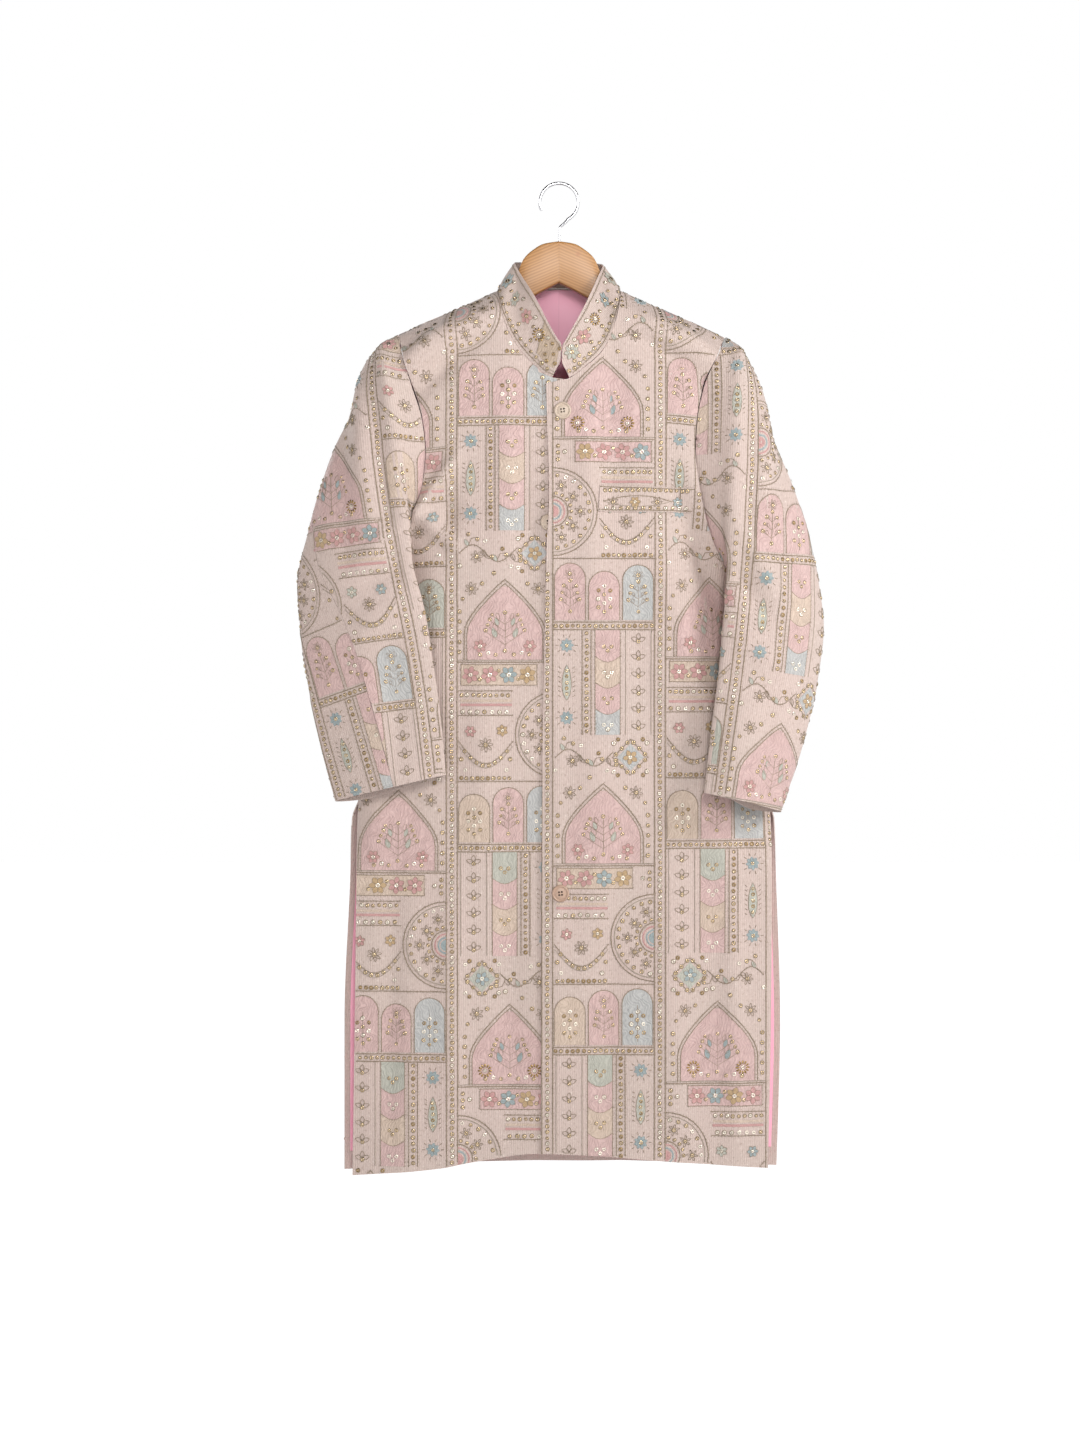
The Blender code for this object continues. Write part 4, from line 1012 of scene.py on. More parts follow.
def lay_flat(points, steps=160, start=None, middle=0):
    """Flat cloth places for a grid of points: lengths along the rows and columns, then eased."""
    p = np.array([[tuple(q) for q in line] for line in points])
    rows, cols, _ = p.shape
    across = np.linalg.norm(np.diff(p, axis=1), axis=2)
    down = np.linalg.norm(np.diff(p, axis=0), axis=2)
    flat = np.zeros((rows, cols, 2))
    if start is None:
        # upright panels: x is kept at one column and z at the hem
        dx = np.diff(p[..., 0], axis=1)
        dy = np.diff(p[..., 1], axis=1)
        step = np.sqrt(dx ** 2 + dy ** 2) * np.sign(dx)
        run = np.concatenate([np.zeros((rows, 1)), np.cumsum(step, axis=1)], axis=1)
        flat[..., 0] = run - run[:, middle:middle + 1] + p[:, middle:middle + 1, 0]
        dz = np.diff(p[..., 2], axis=0)
        dy = np.diff(p[..., 1], axis=0)
        rise = np.sqrt(dz ** 2 + dy ** 2) * np.sign(-dz)
        total = np.concatenate([np.zeros((1, cols)), np.cumsum(rise, axis=0)], axis=0)
        flat[..., 1] = p[-1:, :, 2] + total[-1:] - total
    else:
        flat[...] = start(p, across, down)
    links = (
        ((slice(None), slice(0, -1)), (slice(None), slice(1, None))),
        ((slice(0, -1), slice(None)), (slice(1, None), slice(None))),
        ((slice(0, -1), slice(0, -1)), (slice(1, None), slice(1, None))),
        ((slice(0, -1), slice(1, None)), (slice(1, None), slice(0, -1))),
    )
    rests = [np.linalg.norm(p[b] - p[a], axis=2) for a, b in links]
    for _ in range(steps):
        move = np.zeros_like(flat)
        count = np.zeros(flat.shape[:2])
        for (a, b), rest in zip(links, rests):
            d = flat[b] - flat[a]
            length = np.maximum(np.linalg.norm(d, axis=2), 1e-6)
            fix = d * ((length - rest) / length * 0.5)[..., None]
            move[a] += fix
            move[b] -= fix
            count[a] += 1
            count[b] += 1
        flat += move / count[..., None] * 1.5
    return flat


def sleeve_grid(table, sign, hind_column, part, columns, split):
    """Points of the upper or the under sleeve from the armhole down, and its flat places."""
    lists = sleeve_columns(table)
    rows = [10.0 * i / split for i in range(split + 1)]
    if part == "under":
        rows = [2.0 + 8.0 * i / split for i in range(split + 1)]
    grid = []
    for row in rows:
        ring = sleeve_section(lists, row, sign)
        hind = read(HIND_SEAM, row, hind_column) if row >= 2.0 else 6.0
        hind = 5.93 + (hind - 5.93) * ease((row - 2.0) / 0.5) if 2.0 <= row < 2.5 else hind
        low, high = (0.0, hind) if part == "upper" else (hind, 6.0)
        if part == "under" and row < 2.05:
            low = 5.93
        shares = [low + (high - low) * i / columns for i in range(columns + 1)]
        grid.append([spline_point(ring, at) for at in shares])
    if part == "upper":
        for p in grid[0]:
            p.x -= sign * 2.4
            p.z += 0.7
        for p in (grid[1], grid[2]):
            for q in p:
                q.x -= sign * (1.3 if p is grid[1] else 0.6)
    # the seams keep a hair's gap: both pieces draw in at their long edges
    for line in grid:
        for edge, inner in ((0, 1), (-1, -2)):
            step = line[inner] - line[edge]
            if step.length > 1e-6:
                line[edge] = line[edge] + step.normalized() * min(SEAM, step.length * 0.6)
    fold = 2.0 if part == "upper" else 6.0

    def start(p, across, down):
        flat = np.zeros(p.shape[:2] + (2,))
        middle = p.shape[1] // 3
        t = np.concatenate([[0.0], np.cumsum(down[:, middle])])
        for r, row in enumerate(rows):
            hind = read(HIND_SEAM, row, hind_column) if row >= 2.0 else 6.0
            run = np.concatenate([[0.0], np.cumsum(across[r])])
            place = fold / hind * (len(run) - 1) if part == "upper" else 0.0
            at = np.interp(place, range(len(run)), run)
            flat[r, :, 0] = (run - at) * sign
            flat[r, :, 1] = -t[r]
        return flat

    return grid, lay_flat(grid, 400, start)


# The pieces of cloth. Creases: s0, t0, s1, t1, width, depth (+ out, - in), on the flat cloth
CREASES = {
    "front_over": (
        (60, -150, 175, -205, 16, 2.6), (80, -175, 190, -245, 13, -2.6), (110, -160, 205, -215, 10, 1.6),
        (150, -330, 215, -470, 14, 2.4), (132, -360, 200, -520, 13, -2.8), (110, -420, 170, -600, 16, 1.8),
        (60, -180, 66, -420, 18, -1.6), (30, -240, 40, -520, 16, 1.5), (95, -520, 120, -760, 20, -2.0),
        (165, -560, 190, -800, 18, 2.2), (210, -600, 225, -800, 12, -2.0), (40, -620, 48, -900, 22, 1.6),
        (130, -800, 140, -1150, 20, 1.8), (60, -860, 64, -1150, 18, -1.6), (205, -820, 212, -1150, 14, 2.0),
        (-4, -420, 0, -1150, 7, 0.9),
    ),
    "front_under": (
        (-70, -150, -180, -215, 15, 2.8), (-90, -180, -185, -262, 12, -2.8),
        (-118, -160, -200, -225, 10, 1.8),
        (-122, -330, -215, -452, 8, 4.0), (-215, -350, -118, -440, 8, 3.6),
        (-170, -392, -230, -398, 11, -4.2),
        (-128, -376, -134, -420, 13, -2.6), (-60, -200, -62, -430, 18, 1.6), (-35, -330, -42, -520, 14, -1.5),
        (-150, -460, -135, -700, 18, 2.0), (-190, -520, -178, -760, 16, -2.2),
        (-95, -560, -90, -820, 20, 1.8),
        (-215, -620, -222, -800, 12, 1.8), (-60, -800, -58, -1150, 20, -1.8),
        (-125, -820, -132, -1150, 18, 1.8),
        (-195, -800, -205, -1160, 16, -1.8),
    ),
    "back": (
        (-150, -170, -60, -240, 18, 2.2), (150, -170, 60, -240, 18, 2.2), (-20, -160, -8, -420, 16, 1.2),
        (-175, -330, -120, -480, 16, -2.6), (175, -330, 120, -480, 16, -2.6),
        (-90, -480, -110, -800, 22, 2.2),
        (95, -470, 80, -760, 22, -2.0), (10, -520, 0, -900, 26, 2.4), (-180, -620, -190, -1000, 20, -2.2),
        (175, -640, 185, -1020, 20, 2.2), (-50, -820, -60, -1160, 22, -2.0), (60, -840, 70, -1160, 22, 2.0),
        (130, -800, 136, -1160, 18, -1.8), (-125, -860, -130, -1160, 18, 1.8),
    ),
}
# Sleeve creases on the flat cloth: s outward from the front fold, t down the sleeve
SLEEVE_CREASES = {
    "upper_right": (
        (14, -60, 20, -330, 10, -1.6), (40, -30, 30, -230, 14, 1.8), (70, -60, 62, -300, 14, -1.6),
        (6, -250, 60, -330, 10, 2.2), (0, -300, 55, -360, 9, -2.2), (10, -380, 70, -410, 12, 1.6),
        (60, -420, 75, -560, 14, -1.4), (28, -450, 30, -570, 12, 1.2), (150, -260, 190, -330, 16, 2.2),
        (150, -320, 185, -380, 14, -2.0),
    ),
    "upper_left": (
        (-12, -60, -18, -330, 10, -1.8), (-36, -30, -42, -250, 12, 2.0), (-66, -50, -74, -300, 13, -1.8),
        (-4, -260, -58, -300, 9, 2.6), (-8, -310, -70, -330, 9, -2.4), (-20, -350, -80, -380, 12, 2.0),
        (-40, -400, -56, -560, 13, -1.5), (-80, -420, -86, -560, 14, 1.4), (-150, -240, -185, -320, 16, 2.2),
    ),
}


def add_piece(name, panel, outer, inner, slot, turned_in=0):
    """Put a cut piece in the scene in place of its solid."""
    panel.object = panel.shell(outer, inner, slot, turned_in)
    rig.replaces(panel.object, name)
    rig.ride(panel.object, "root")
    return panel


ground = MATS["ground"]
satin = MATS["satin"]
FRONT = (0, -1, 0)
REAR = (0, 1, 0)
panels = {}

for name, sign, kind in (("front_over", 1, "over"), ("front_under", -1, "under")):
    grid = front_panel(kind, sign, 46, 4)
    panel = Panel(name, grid, lay_flat(grid), FRONT, CREASES[name])
    panels[name] = add_piece(name, panel, ground, satin, RECORD_SLOT)

# the back is worked as one form, then cut at its centre seam
half_columns = 36
back_grid = back_panel(half_columns, 4)
whole_back = Panel("back", back_grid, lay_flat(back_grid, middle=half_columns), REAR, CREASES["back"])


def cut_half(whole, name, first, last, seam_side, gap):
    """One half of a panel, drawn in a little at the seam."""
    points = whole.points[:, first:last].copy()
    edge, inner = (-1, -2) if seam_side == "end" else (0, 1)
    step = points[:, inner] - points[:, edge]
    points[:, edge] += step / np.linalg.norm(step, axis=1, keepdims=True) * gap
    half = Panel.__new__(Panel)
    half.name = name
    half.rows, half.cols = points.shape[:2]
    half.points = points
    half.flat = whole.flat[:, first:last].copy()
    half.normals = whole.normals[:, first:last].copy()
    half.thickness = whole.thickness
    half.outer = points + half.normals * (whole.thickness / 2)
    half.inner = points - half.normals * (whole.thickness / 2)
    half._locator = None
    return half


lining_gap = SHELL / 2 + LINING_SHELL / 2 + 1.0
extra = np.zeros((whole_back.rows, 1, 1))
for r in range(whole_back.rows):
    z = whole_back.points[r, -1, 2]
    extra[r] = 0.9 * ease((z + 520.0) / 40.0) * ease((-400.0 - z) / 40.0)
lining_points = (whole_back.points - whole_back.normals * (lining_gap + extra))[1:, 2:-2]
last_step = lining_points[-2] - lining_points[-1]
lining_points[-1] += last_step / np.linalg.norm(last_step, axis=1, keepdims=True) * LINING_SHORT
whole_lining = Panel("lining", lining_points, whole_back.flat[1:, 2:-2].copy(), FRONT, (), LINING_SHELL)
for half_name, first, last, seam_side in (
        ("left", 0, half_columns + 1, "end"), ("right", half_columns, 2 * half_columns + 1, "start")):
    name = "back_" + half_name
    panel = cut_half(whole_back, name, first, last, seam_side, 0.0)
    panels[name] = add_piece(name, panel, ground, ground, RECORD_SLOT)
    inner_first = max(first - 2, 0)
    panel = cut_half(whole_lining, "back_lining_" + half_name, inner_first, last - 2 if half_name == "left"
                     else whole_lining.cols, seam_side, 0.0)
    panels[panel.name] = add_piece(panel.name, panel, satin, satin, "pink_lining")

for side_name, sign, table, hind in (("right", 1, SLEEVE_RIGHT, 2), ("left", -1, SLEEVE_LEFT, 1)):
    for cut, count, split in (("upper", 52, 64), ("under", 22, 52)):
        grid, flat = sleeve_grid(table, sign, hind, cut, count, split)
        name = "sleeve_" + cut + "_" + side_name
        panel = Panel(name, grid, flat, FRONT if cut == "upper" else REAR,
                      SLEEVE_CREASES.get(cut + "_" + side_name, ()))
        panels[name] = add_piece(name, panel, ground, satin, RECORD_SLOT, 2)

band = collar_grid(110, 12)


def start_band(p, across, down):
    flat = np.zeros(p.shape[:2] + (2,))
    run = np.concatenate([[0.0], np.cumsum(across[0])])
    flat[..., 0] = run - run[len(run) // 2]
    flat[..., 1] = -np.concatenate([np.zeros((1, p.shape[1])), np.cumsum(-down, axis=0)], axis=0)
    return flat


panels["collar"] = add_piece("collar", Panel("collar", band, lay_flat(band, 300, start_band), REAR),
                             ground, ground, RECORD_SLOT)


def drop_on(panel, x, z):
    """Where a line straight back from the viewer meets a panel: point, normal and flat place."""
    if not hasattr(panel, "_seen"):
        cols = panel.cols
        faces = [(r * cols + c, r * cols + c + 1, (r + 1) * cols + c + 1, (r + 1) * cols + c)
                 for r in range(panel.rows - 1) for c in range(cols - 1)]
        panel._quads = faces
        panel._seen = BVHTree.FromPolygons([tuple(q) for q in panel.outer.reshape(-1, 3)], faces)
    hit, normal, index, _ = panel._seen.ray_cast(Vector((x, -400.0, z)), Vector((0, 1, 0)))
    if hit is None:
        hit, normal, index, _ = panel._seen.find_nearest(Vector((x, -40.0, z)))
    corners = [panel.outer.reshape(-1, 3)[i] for i in panel._quads[index]]
    weights = [1.0 / max(np.linalg.norm(np.array(hit) - q), 1e-6) for q in corners]
    flat = sum(panel.flat.reshape(-1, 2)[i] * w for i, w in zip(panel._quads[index], weights)) / sum(weights)
    if normal.y > 0.0:
        normal = -normal
    return hit, normal, flat


# chest pocket welt: the front's own surface moved out
welt_rows = []
corners = [Vector((x, 0.0, z)) for x, z in WELT]
for r in range(7):
    line = []
    for c in range(29):
        u = c / 28.0
        v = r / 6.0
        p = corners[0].lerp(corners[1], u).lerp(corners[3].lerp(corners[2], u), v)
        hit, normal, _ = drop_on(panels["front_over"], p.x, p.z)
        line.append(hit + normal * (0.75 + 0.25 * math.sin(math.pi * v)))
    welt_rows.append(line)
panels["chest_welt"] = add_piece(
    "chest_welt", Panel("chest_welt", welt_rows, lay_flat(welt_rows, 60), FRONT, (), 0.9),
    ground, ground, RECORD_SLOT)


def mesh_piece(name, verts, faces, mat, slot, replace=None):
    """A hard piece with smooth faces and kept edges, on the one body."""
    mesh = mesh_in_mm(name, verts, faces)
    work = bmesh.new()
    work.from_mesh(mesh)
    bmesh.ops.recalc_face_normals(work, faces=work.faces)
    for face in work.faces:
        face.smooth = True
    for edge in work.edges:
        edge.smooth = edge.calc_face_angle(0.0) < 0.75
    work.to_mesh(mesh)
    work.free()
    mesh.materials.append(mat)
    obj = put_in_scene(name, mesh)
    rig.slot(obj, slot)
    if replace:
        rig.replaces(obj, replace)
    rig.ride(obj, "root")


def faces_between(rings, sides):
    """Four-sided faces between rings of points that follow one another."""
    faces = []
    for s in range(rings - 1):
        for i in range(sides):
            j = (i + 1) % sides
            faces.append((s * sides + i, s * sides + j, (s + 1) * sides + j, (s + 1) * sides + i))
    return faces


def tube(path, radii, sides):
    """Points and faces of a round wire along a path."""
    verts = []
    side = Vector((0, 1, 0))
    for i, p in enumerate(path):
        run = (path[min(i + 1, len(path) - 1)] - path[max(i - 1, 0)]).normalized()
        if abs(run.dot(side)) > 0.95:
            side = Vector((1, 0, 0))
        across = run.cross(side).normalized()
        side = across.cross(run).normalized()
        for k in range(sides):
            a = 2 * math.pi * k / sides
            verts.append(p + (side * math.cos(a) + across * math.sin(a)) * radii[i])
    faces = faces_between(len(path), sides)
    faces.append(tuple(reversed(range(sides))))
    faces.append(tuple((len(path) - 1) * sides + i for i in range(sides)))
    return verts, faces


# hook
radius = HOOK_WIRE / 2.0
centre = Vector((0.0, 0.0, -(HOOK_BEND - radius)))
route = []
for i in range(49):
    a = math.radians(205.0 - i * (205.0 + 62.0) / 48.0)
    route.append(centre + Vector((HOOK_BEND * math.cos(a), 0.0, HOOK_BEND * math.sin(a))))
sizes = [radius] * len(route)
sizes[0] = radius * 0.75
end = route[-1]
for i in range(1, 9):
    t = i / 8.0
    route.append(end.lerp(Vector((1.0, 0.0, -50.5)), t) + Vector((0.9 * math.sin(math.pi * t), 0, 0)))
    sizes.append(radius * (1.0 - 0.25 * t))
route += [Vector((0.6, 0.0, -54.0)), Vector((0.6, 0.0, -58.0)), Vector((0.6, 0.0, -67.7))]
sizes += [radius * 0.75] * 3
verts, faces = tube(route, sizes, 18)
mesh_piece("hook_wire", verts, faces, MATS["chrome"], "hook_chrome", replace="hanger_hook")

# wooden hanger: two mitred halves, rounded edges
verts = []
profile = 24
stations = [-184 + 368.0 * i / 138 for i in range(139)]
for x in stations:
    top = read(HANGER, abs(x), 1)
    low = read(HANGER, abs(x), 2)
    half = read(HANGER, abs(x), 3)
    middle = 0.5 * (top + low)
    tall = 0.5 * (top - low)
    soft = 3.0
    for k in range(profile):
        a = 2 * math.pi * (k + 0.5) / profile
        cy = (half - soft) * (1 if math.cos(a) > 0 else -1)
        cz = (tall - soft) * (1 if math.sin(a) > 0 else -1)
        verts.append((x, cy + soft * math.cos(a), middle + cz + soft * math.sin(a)))
faces = faces_between(len(stations), profile)
faces.append(tuple(range(profile)))
faces.append(tuple((len(stations) - 1) * profile + i for i in reversed(range(profile))))
mesh_piece("hanger_arms", verts, faces, MATS["wood"], "hanger_wood", replace="hanger_wood")


def button(name, host, x, z, mat):
    """A turned four-hole button with a raised rim, and behind it a disc for its sewing thread, near-black as painted
    shade seen through its holes.
    """
    hit, normal, _ = drop_on(panels[host], x, z)
    lift = BUTTON_T / 2 + 0.45
    turn = Vector((0, 0, 1)).rotation_difference(normal).to_matrix()
    r = BUTTON_D / 2
    t = BUTTON_T / 2
    outline = [(0.0, -t), (r - 1.0, -t), (r - 0.25, -t + 0.35), (r, -0.6), (r - 0.3, t - 1.0),
               (r - 1.0, t - 0.25), (r - 1.6, t), (r - 2.1, t - 0.25), (r - 2.6, t - 1.2),
               (r - 3.3, t - 1.25), (r - 3.9, t - 0.7), (0.0, t - 0.6)]
    work = bmesh.new()
    sides = 48
    built = []
    for radius_at, height in outline:
        if radius_at == 0.0:
            built.append([work.verts.new((0, 0, height))])
            continue
        built.append([work.verts.new((radius_at * math.cos(2 * math.pi * i / sides),
                                      radius_at * math.sin(2 * math.pi * i / sides), height))
                      for i in range(sides)])
    for low, high in zip(built, built[1:]):
        for i in range(sides):
            j = (i + 1) % sides
            if len(low) == 1:
                work.faces.new((low[0], high[j], high[i]))
            elif len(high) == 1:
                work.faces.new((low[i], low[j], high[0]))
            else:
                work.faces.new((low[i], low[j], high[j], high[i]))
    bmesh.ops.recalc_face_normals(work, faces=work.faces)
    mesh = bpy.data.meshes.new(name)
    work.to_mesh(mesh)
    work.free()
    blank = put_in_scene(name + "_blank", mesh)
    cutters = []
    for i in range(4):
        a = math.pi / 4 + i * math.pi / 2 + 0.12
        cut = bmesh.new()
        bmesh.ops.create_cone(cut, cap_ends=True, segments=16, radius1=1.2, radius2=1.2, depth=9.0)
        bmesh.ops.translate(cut, verts=cut.verts, vec=(2.35 * math.cos(a), 2.35 * math.sin(a), 0.0))
        cut_mesh = bpy.data.meshes.new(name + "_hole")
        cut.to_mesh(cut_mesh)
        cut.free()
        cutter = put_in_scene(name + "_hole", cut_mesh)
        cutters.append(cutter)
        boolean = blank.modifiers.new("hole", "BOOLEAN")
        boolean.operation = "DIFFERENCE"
        boolean.solver = "EXACT"
        boolean.object = cutter
    bpy.context.view_layer.update()
    result = bpy.data.meshes.new_from_object(blank.evaluated_get(bpy.context.evaluated_depsgraph_get()))
    for item in cutters + [blank]:
        bpy.data.objects.remove(item, do_unlink=True)
    centre = hit + normal * lift
    verts = [turn @ v.co + centre for v in result.vertices]
    faces = [tuple(f.vertices) for f in result.polygons]
    mesh_piece(name + "_disc", verts, faces, mat, "button_cream", replace=name)
    # a disc for the sewing thread behind the button, near-black as painted shade seen through its holes
    thread_and_hole_shade_disc = []
    for up in (-t - 0.45, -t - 0.05):
        for i in range(16):
            a = 2 * math.pi * i / 16
            thread_and_hole_shade_disc.append(turn @ Vector((4.2 * math.cos(a), 4.2 * math.sin(a), up)) + centre)
    thread_and_hole_shade_faces = [tuple(range(15, -1, -1)), tuple(range(16, 32))] + faces_between(2, 16)
    mesh_piece(name + "_thread", thread_and_hole_shade_disc, thread_and_hole_shade_faces, MATS["cotton"], "button_cream")


button("button_top", "front_over", 4.0, -276.0, MATS["button"])
button("button_middle", "front_under", MIDDLE_BUTTON[0], MIDDLE_BUTTON[1], MATS["button"])
button("button_low", "front_over", 1.5, -848.0, MATS["button_low"])


# What each piece hangs from, and its cut on the flat cloth
HANGS_FROM = {
    "front_over": ["hanger_arms"], "front_under": ["hanger_arms"], "back_left": ["hanger_arms"],
    "back_right": ["hanger_arms"], "back_lining_left": ["back_left_cloth"],
    "back_lining_right": ["back_right_cloth"],
    "sleeve_upper_left": ["front_under_cloth", "back_left_cloth"],
    "sleeve_under_left": ["front_under_cloth", "back_left_cloth"],
    "sleeve_upper_right": ["front_over_cloth", "back_right_cloth"],
    "sleeve_under_right": ["front_over_cloth", "back_right_cloth"],
    "collar": ["front_over_cloth", "front_under_cloth", "back_left_cloth"],
    "chest_welt": ["front_over_cloth"],
}
worked = {name: [] for name in panels}


# Thread work and metal rings, drawn on the flat cloth in mm and carried to the hanging form
RING_SIDES = 9
RING_LEAN = 0.14          # how far a ring leans out of the cloth's plane
FEATHERED_FROM = 1.0      # cords of thread this wide carry slanting stitches, mm
FEATHER_REACH = (1.6, 2.9)
RINGS = {
    "gold": ("ring_gold", 4.0), "pale": ("ring_pale", 4.1), "dark": ("ring_dark", 4.0),
    "small": ("ring_gold", 3.2), "white": ("ring_pale", 4.8),
}
RINGS_PER_CM2 = 0.34
CELL = 9.0                # rings are looked up in squares of this size, and loose ones keep so far apart, mm


def dressed(mesh, kinds, numbers):
    """Give a mesh its materials, one number for each face, and smooth faces."""
    for kind in kinds:
        mesh.materials.append(MATS[kind])
    mesh.polygons.foreach_set("material_index", numbers)
    mesh.polygons.foreach_set("use_smooth", [True] * len(mesh.polygons))


class Work:
    """What is worked on one panel: patches, cords of thread, petals and rings."""

    def __init__(self, panel, seed):
        self.panel = panel
        self.chance = random.Random(seed)
        self.verts = []
        self.faces = []
        self.mats = []
        self.places = []
        self.rings = []
        self.taken = {}
        rim = np.concatenate([panel.flat[0], panel.flat[:, -1], panel.flat[-1][::-1], panel.flat[::-1, 0]])
        points = []
        for a, b in zip(rim, np.roll(rim, -1, axis=0)):
            count = max(1, int(math.dist(a, b) / 2.0))
            points += [a + (b - a) * (i / count) for i in range(count)]
        self.edge = KDTree(len(points))
        for i, p in enumerate(points):
            self.edge.insert((p[0], p[1], 0.0), i)
        self.edge.balance()

    def room(self, s, t, reach):
        """True where a round of this reach lies on the piece."""
        _, _, outside = self.panel.locate(s, t)
        if outside > 0.01:
            return False
        return self.edge.find((s, t, 0.0))[2] > reach

    def pin(self, s, t, up):
        """A point of thread this high over the cloth; says how far off the piece it lies."""
        point, normal, outside = self.panel.locate(s, t)
        self.verts.append(point + normal * up)
        self.places.append((s, t))
        return outside

    def patch(self, grid, mat, lift=0.35):
        """A patch of thread from rows of flat points; what falls off the piece is left out."""
        base = len(self.verts)
        cols = len(grid[0])
        off = [self.pin(s, t, lift) > 0.8 for line in grid for s, t in line]
        for r in range(len(grid) - 1):
            for c in range(cols - 1):
                quad = [r * cols + c, r * cols + c + 1, (r + 1) * cols + c + 1, (r + 1) * cols + c]
                if sum(off[i] for i in quad) < 3:
                    self.faces.append(tuple(base + i for i in quad))
                    self.mats.append(mat)

    def cord(self, path, mat="line", wide=1.3, lift=0.75, closed=False, step=4.0):
        """A raised cord of thread along a flat path."""
        if closed:
            path = list(path) + [path[0]]
        points = [np.array(path[0], dtype=float)]
        for a, b in zip(path, path[1:]):
            a = np.array(a, dtype=float)
            b = np.array(b, dtype=float)
            count = max(1, int(round(math.dist(a, b) / step)))
            points += [a + (b - a) * ((i + 1) / count) for i in range(count)]
        runs = [[]]
        for i, p in enumerate(points):
            point, normal, outside = self.panel.locate(p[0], p[1])
            if outside > 0.6:
                runs.append([])
                continue
            way = points[min(i + 1, len(points) - 1)] - points[max(i - 1, 0)]
            way = way / max(np.linalg.norm(way), 1e-6)
            runs[-1].append((p, way, point, normal))
        for run in runs:
            if len(run) < 2:
                continue
            base = len(self.verts)
            for p, way, point, normal in run:
                across = np.array((-way[1], way[0]))
                w = wide * 0.5 * self.chance.uniform(0.8, 1.15)
                shift = self.chance.uniform(-0.18, 0.18)
                for k, up in ((-1, 0.1), (0, lift), (1, 0.1)):
                    q = p + across * (k * w + shift)
                    if k:
                        self.pin(q[0], q[1], up)
                    else:
                        self.verts.append(point + normal * up)
                        self.places.append((q[0], q[1]))
            for i in range(len(run) - 1):
                for k in (0, 1):
                    a = base + i * 3 + k
                    self.faces.append((a, a + 1, a + 4, a + 3))
                    self.mats.append(mat)
            if mat == "line" and wide >= FEATHERED_FROM:
                self.feather(run)

    def feather(self, run):
        """Short slanting stitches that leave a cord on both sides, like a feather."""
        for i, (p, way, _, _) in enumerate(run):
            across = np.array((-way[1], way[0]))
            for side in (-1, 1):
                reach = self.chance.uniform(*FEATHER_REACH)
                foot = p + way * self.chance.uniform(-0.8, 0.8)
                base = len(self.verts)
                for q, up in ((foot - way * 0.4, 0.35), (foot + way * 0.4, 0.35),
                              (foot + across * side * reach + way * reach * 0.8, 0.3)):
                    self.pin(q[0], q[1], up)
                self.faces.append((base, base + 1, base + 2))
                self.mats.append("line" if (i + side) % 3 else "pale")

    def neighbours(self, s, t):
        """The rings already set near a place."""
        i, j = self.cell(s, t)
        return [ring for di in (-1, 0, 1) for dj in (-1, 0, 1)
                for ring in self.taken.get((i + di, j + dj), ())]

    def cell(self, s, t):
        return int(s // CELL), int(t // CELL)

    def ring(self, s, t, kind="gold", size=None):
        mat, wide = RINGS[kind]
        wide = (size or wide) * self.chance.uniform(0.92, 1.06)
        for other in self.neighbours(s, t):
            if math.dist(other[:2], (s, t)) < (wide + other[2]) * 0.52:
                return
        if self.room(s, t, wide * 0.55):
            self.taken.setdefault(self.cell(s, t), []).append((s, t, wide))
            self.rings.append((s, t, wide, mat))

    def ring_row(self, a, b, pitch=7.0, kinds=("gold", "small", "gold", "pale"), shake=0.35):
        a = np.array(a, dtype=float)
        b = np.array(b, dtype=float)
        count = max(1, int(math.dist(a, b) / pitch))
        for i in range(count):
            p = a + (b - a) * ((i + 0.5) / count)
            kind = kinds[self.chance.randrange(len(kinds))]
            s = p[0] + self.chance.uniform(-shake, shake)
            t = p[1] + self.chance.uniform(-shake, shake)
            self.ring(s, t, kind)

    def rectangle(self, s0, t0, s1, t1, mat, lift=0.35, step=6.0):
        across = max(1, int(abs(s1 - s0) / step))
        down = max(1, int(abs(t1 - t0) / step))
        self.patch([[(s0 + (s1 - s0) * c / across, t0 + (t1 - t0) * r / down) for c in range(across + 1)]
                    for r in range(down + 1)], mat, lift)

    def petal(self, s, t, long, wide, angle, mat, outline="line", lift=0.6, cord=0.8):
        """One petal or leaf from a point outward, filled and outlined."""
        ca = math.cos(angle)
        sa = math.sin(angle)

        def place(u, v):
            return (s + u * ca - v * sa, t + u * sa + v * ca)
        rows = []
        for i in range(6):
            u = i / 5.0
            w = wide * 0.5 * math.sin(math.pi * u ** 0.85) ** 0.7
            rows.append([place(u * long, -w), place(u * long, 0.0), place(u * long, w)])
        if mat:
            self.patch(rows, mat, lift)
        if outline:
            rim = [place(u / 7.0 * long, wide * 0.5 * math.sin(math.pi * (u / 7.0) ** 0.85) ** 0.7)
                   for u in range(8)]
            rim += [place(u / 7.0 * long, -wide * 0.5 * math.sin(math.pi * (u / 7.0) ** 0.85) ** 0.7)
                    for u in range(6, 0, -1)]
            self.cord(rim, outline, cord, lift + 0.3, closed=True, step=5.0)

    def flower(self, s, t, reach, petals, mat, outline="line", heart="pale", turn=None):
        if not self.room(s, t, reach * 0.55):
            return
        turn = self.chance.uniform(0, 6.28) if turn is None else turn
        for i in range(petals):
            angle = turn + 2 * math.pi * i / petals
            a = reach * 0.2
            self.petal(s + a * math.cos(angle), t + a * math.sin(angle), reach * 0.8,
                       min(reach * 0.62, 2 * math.pi * reach * 0.62 / petals), angle, mat, outline)
        self.ring(s, t, heart, min(5.4, reach * 0.55))

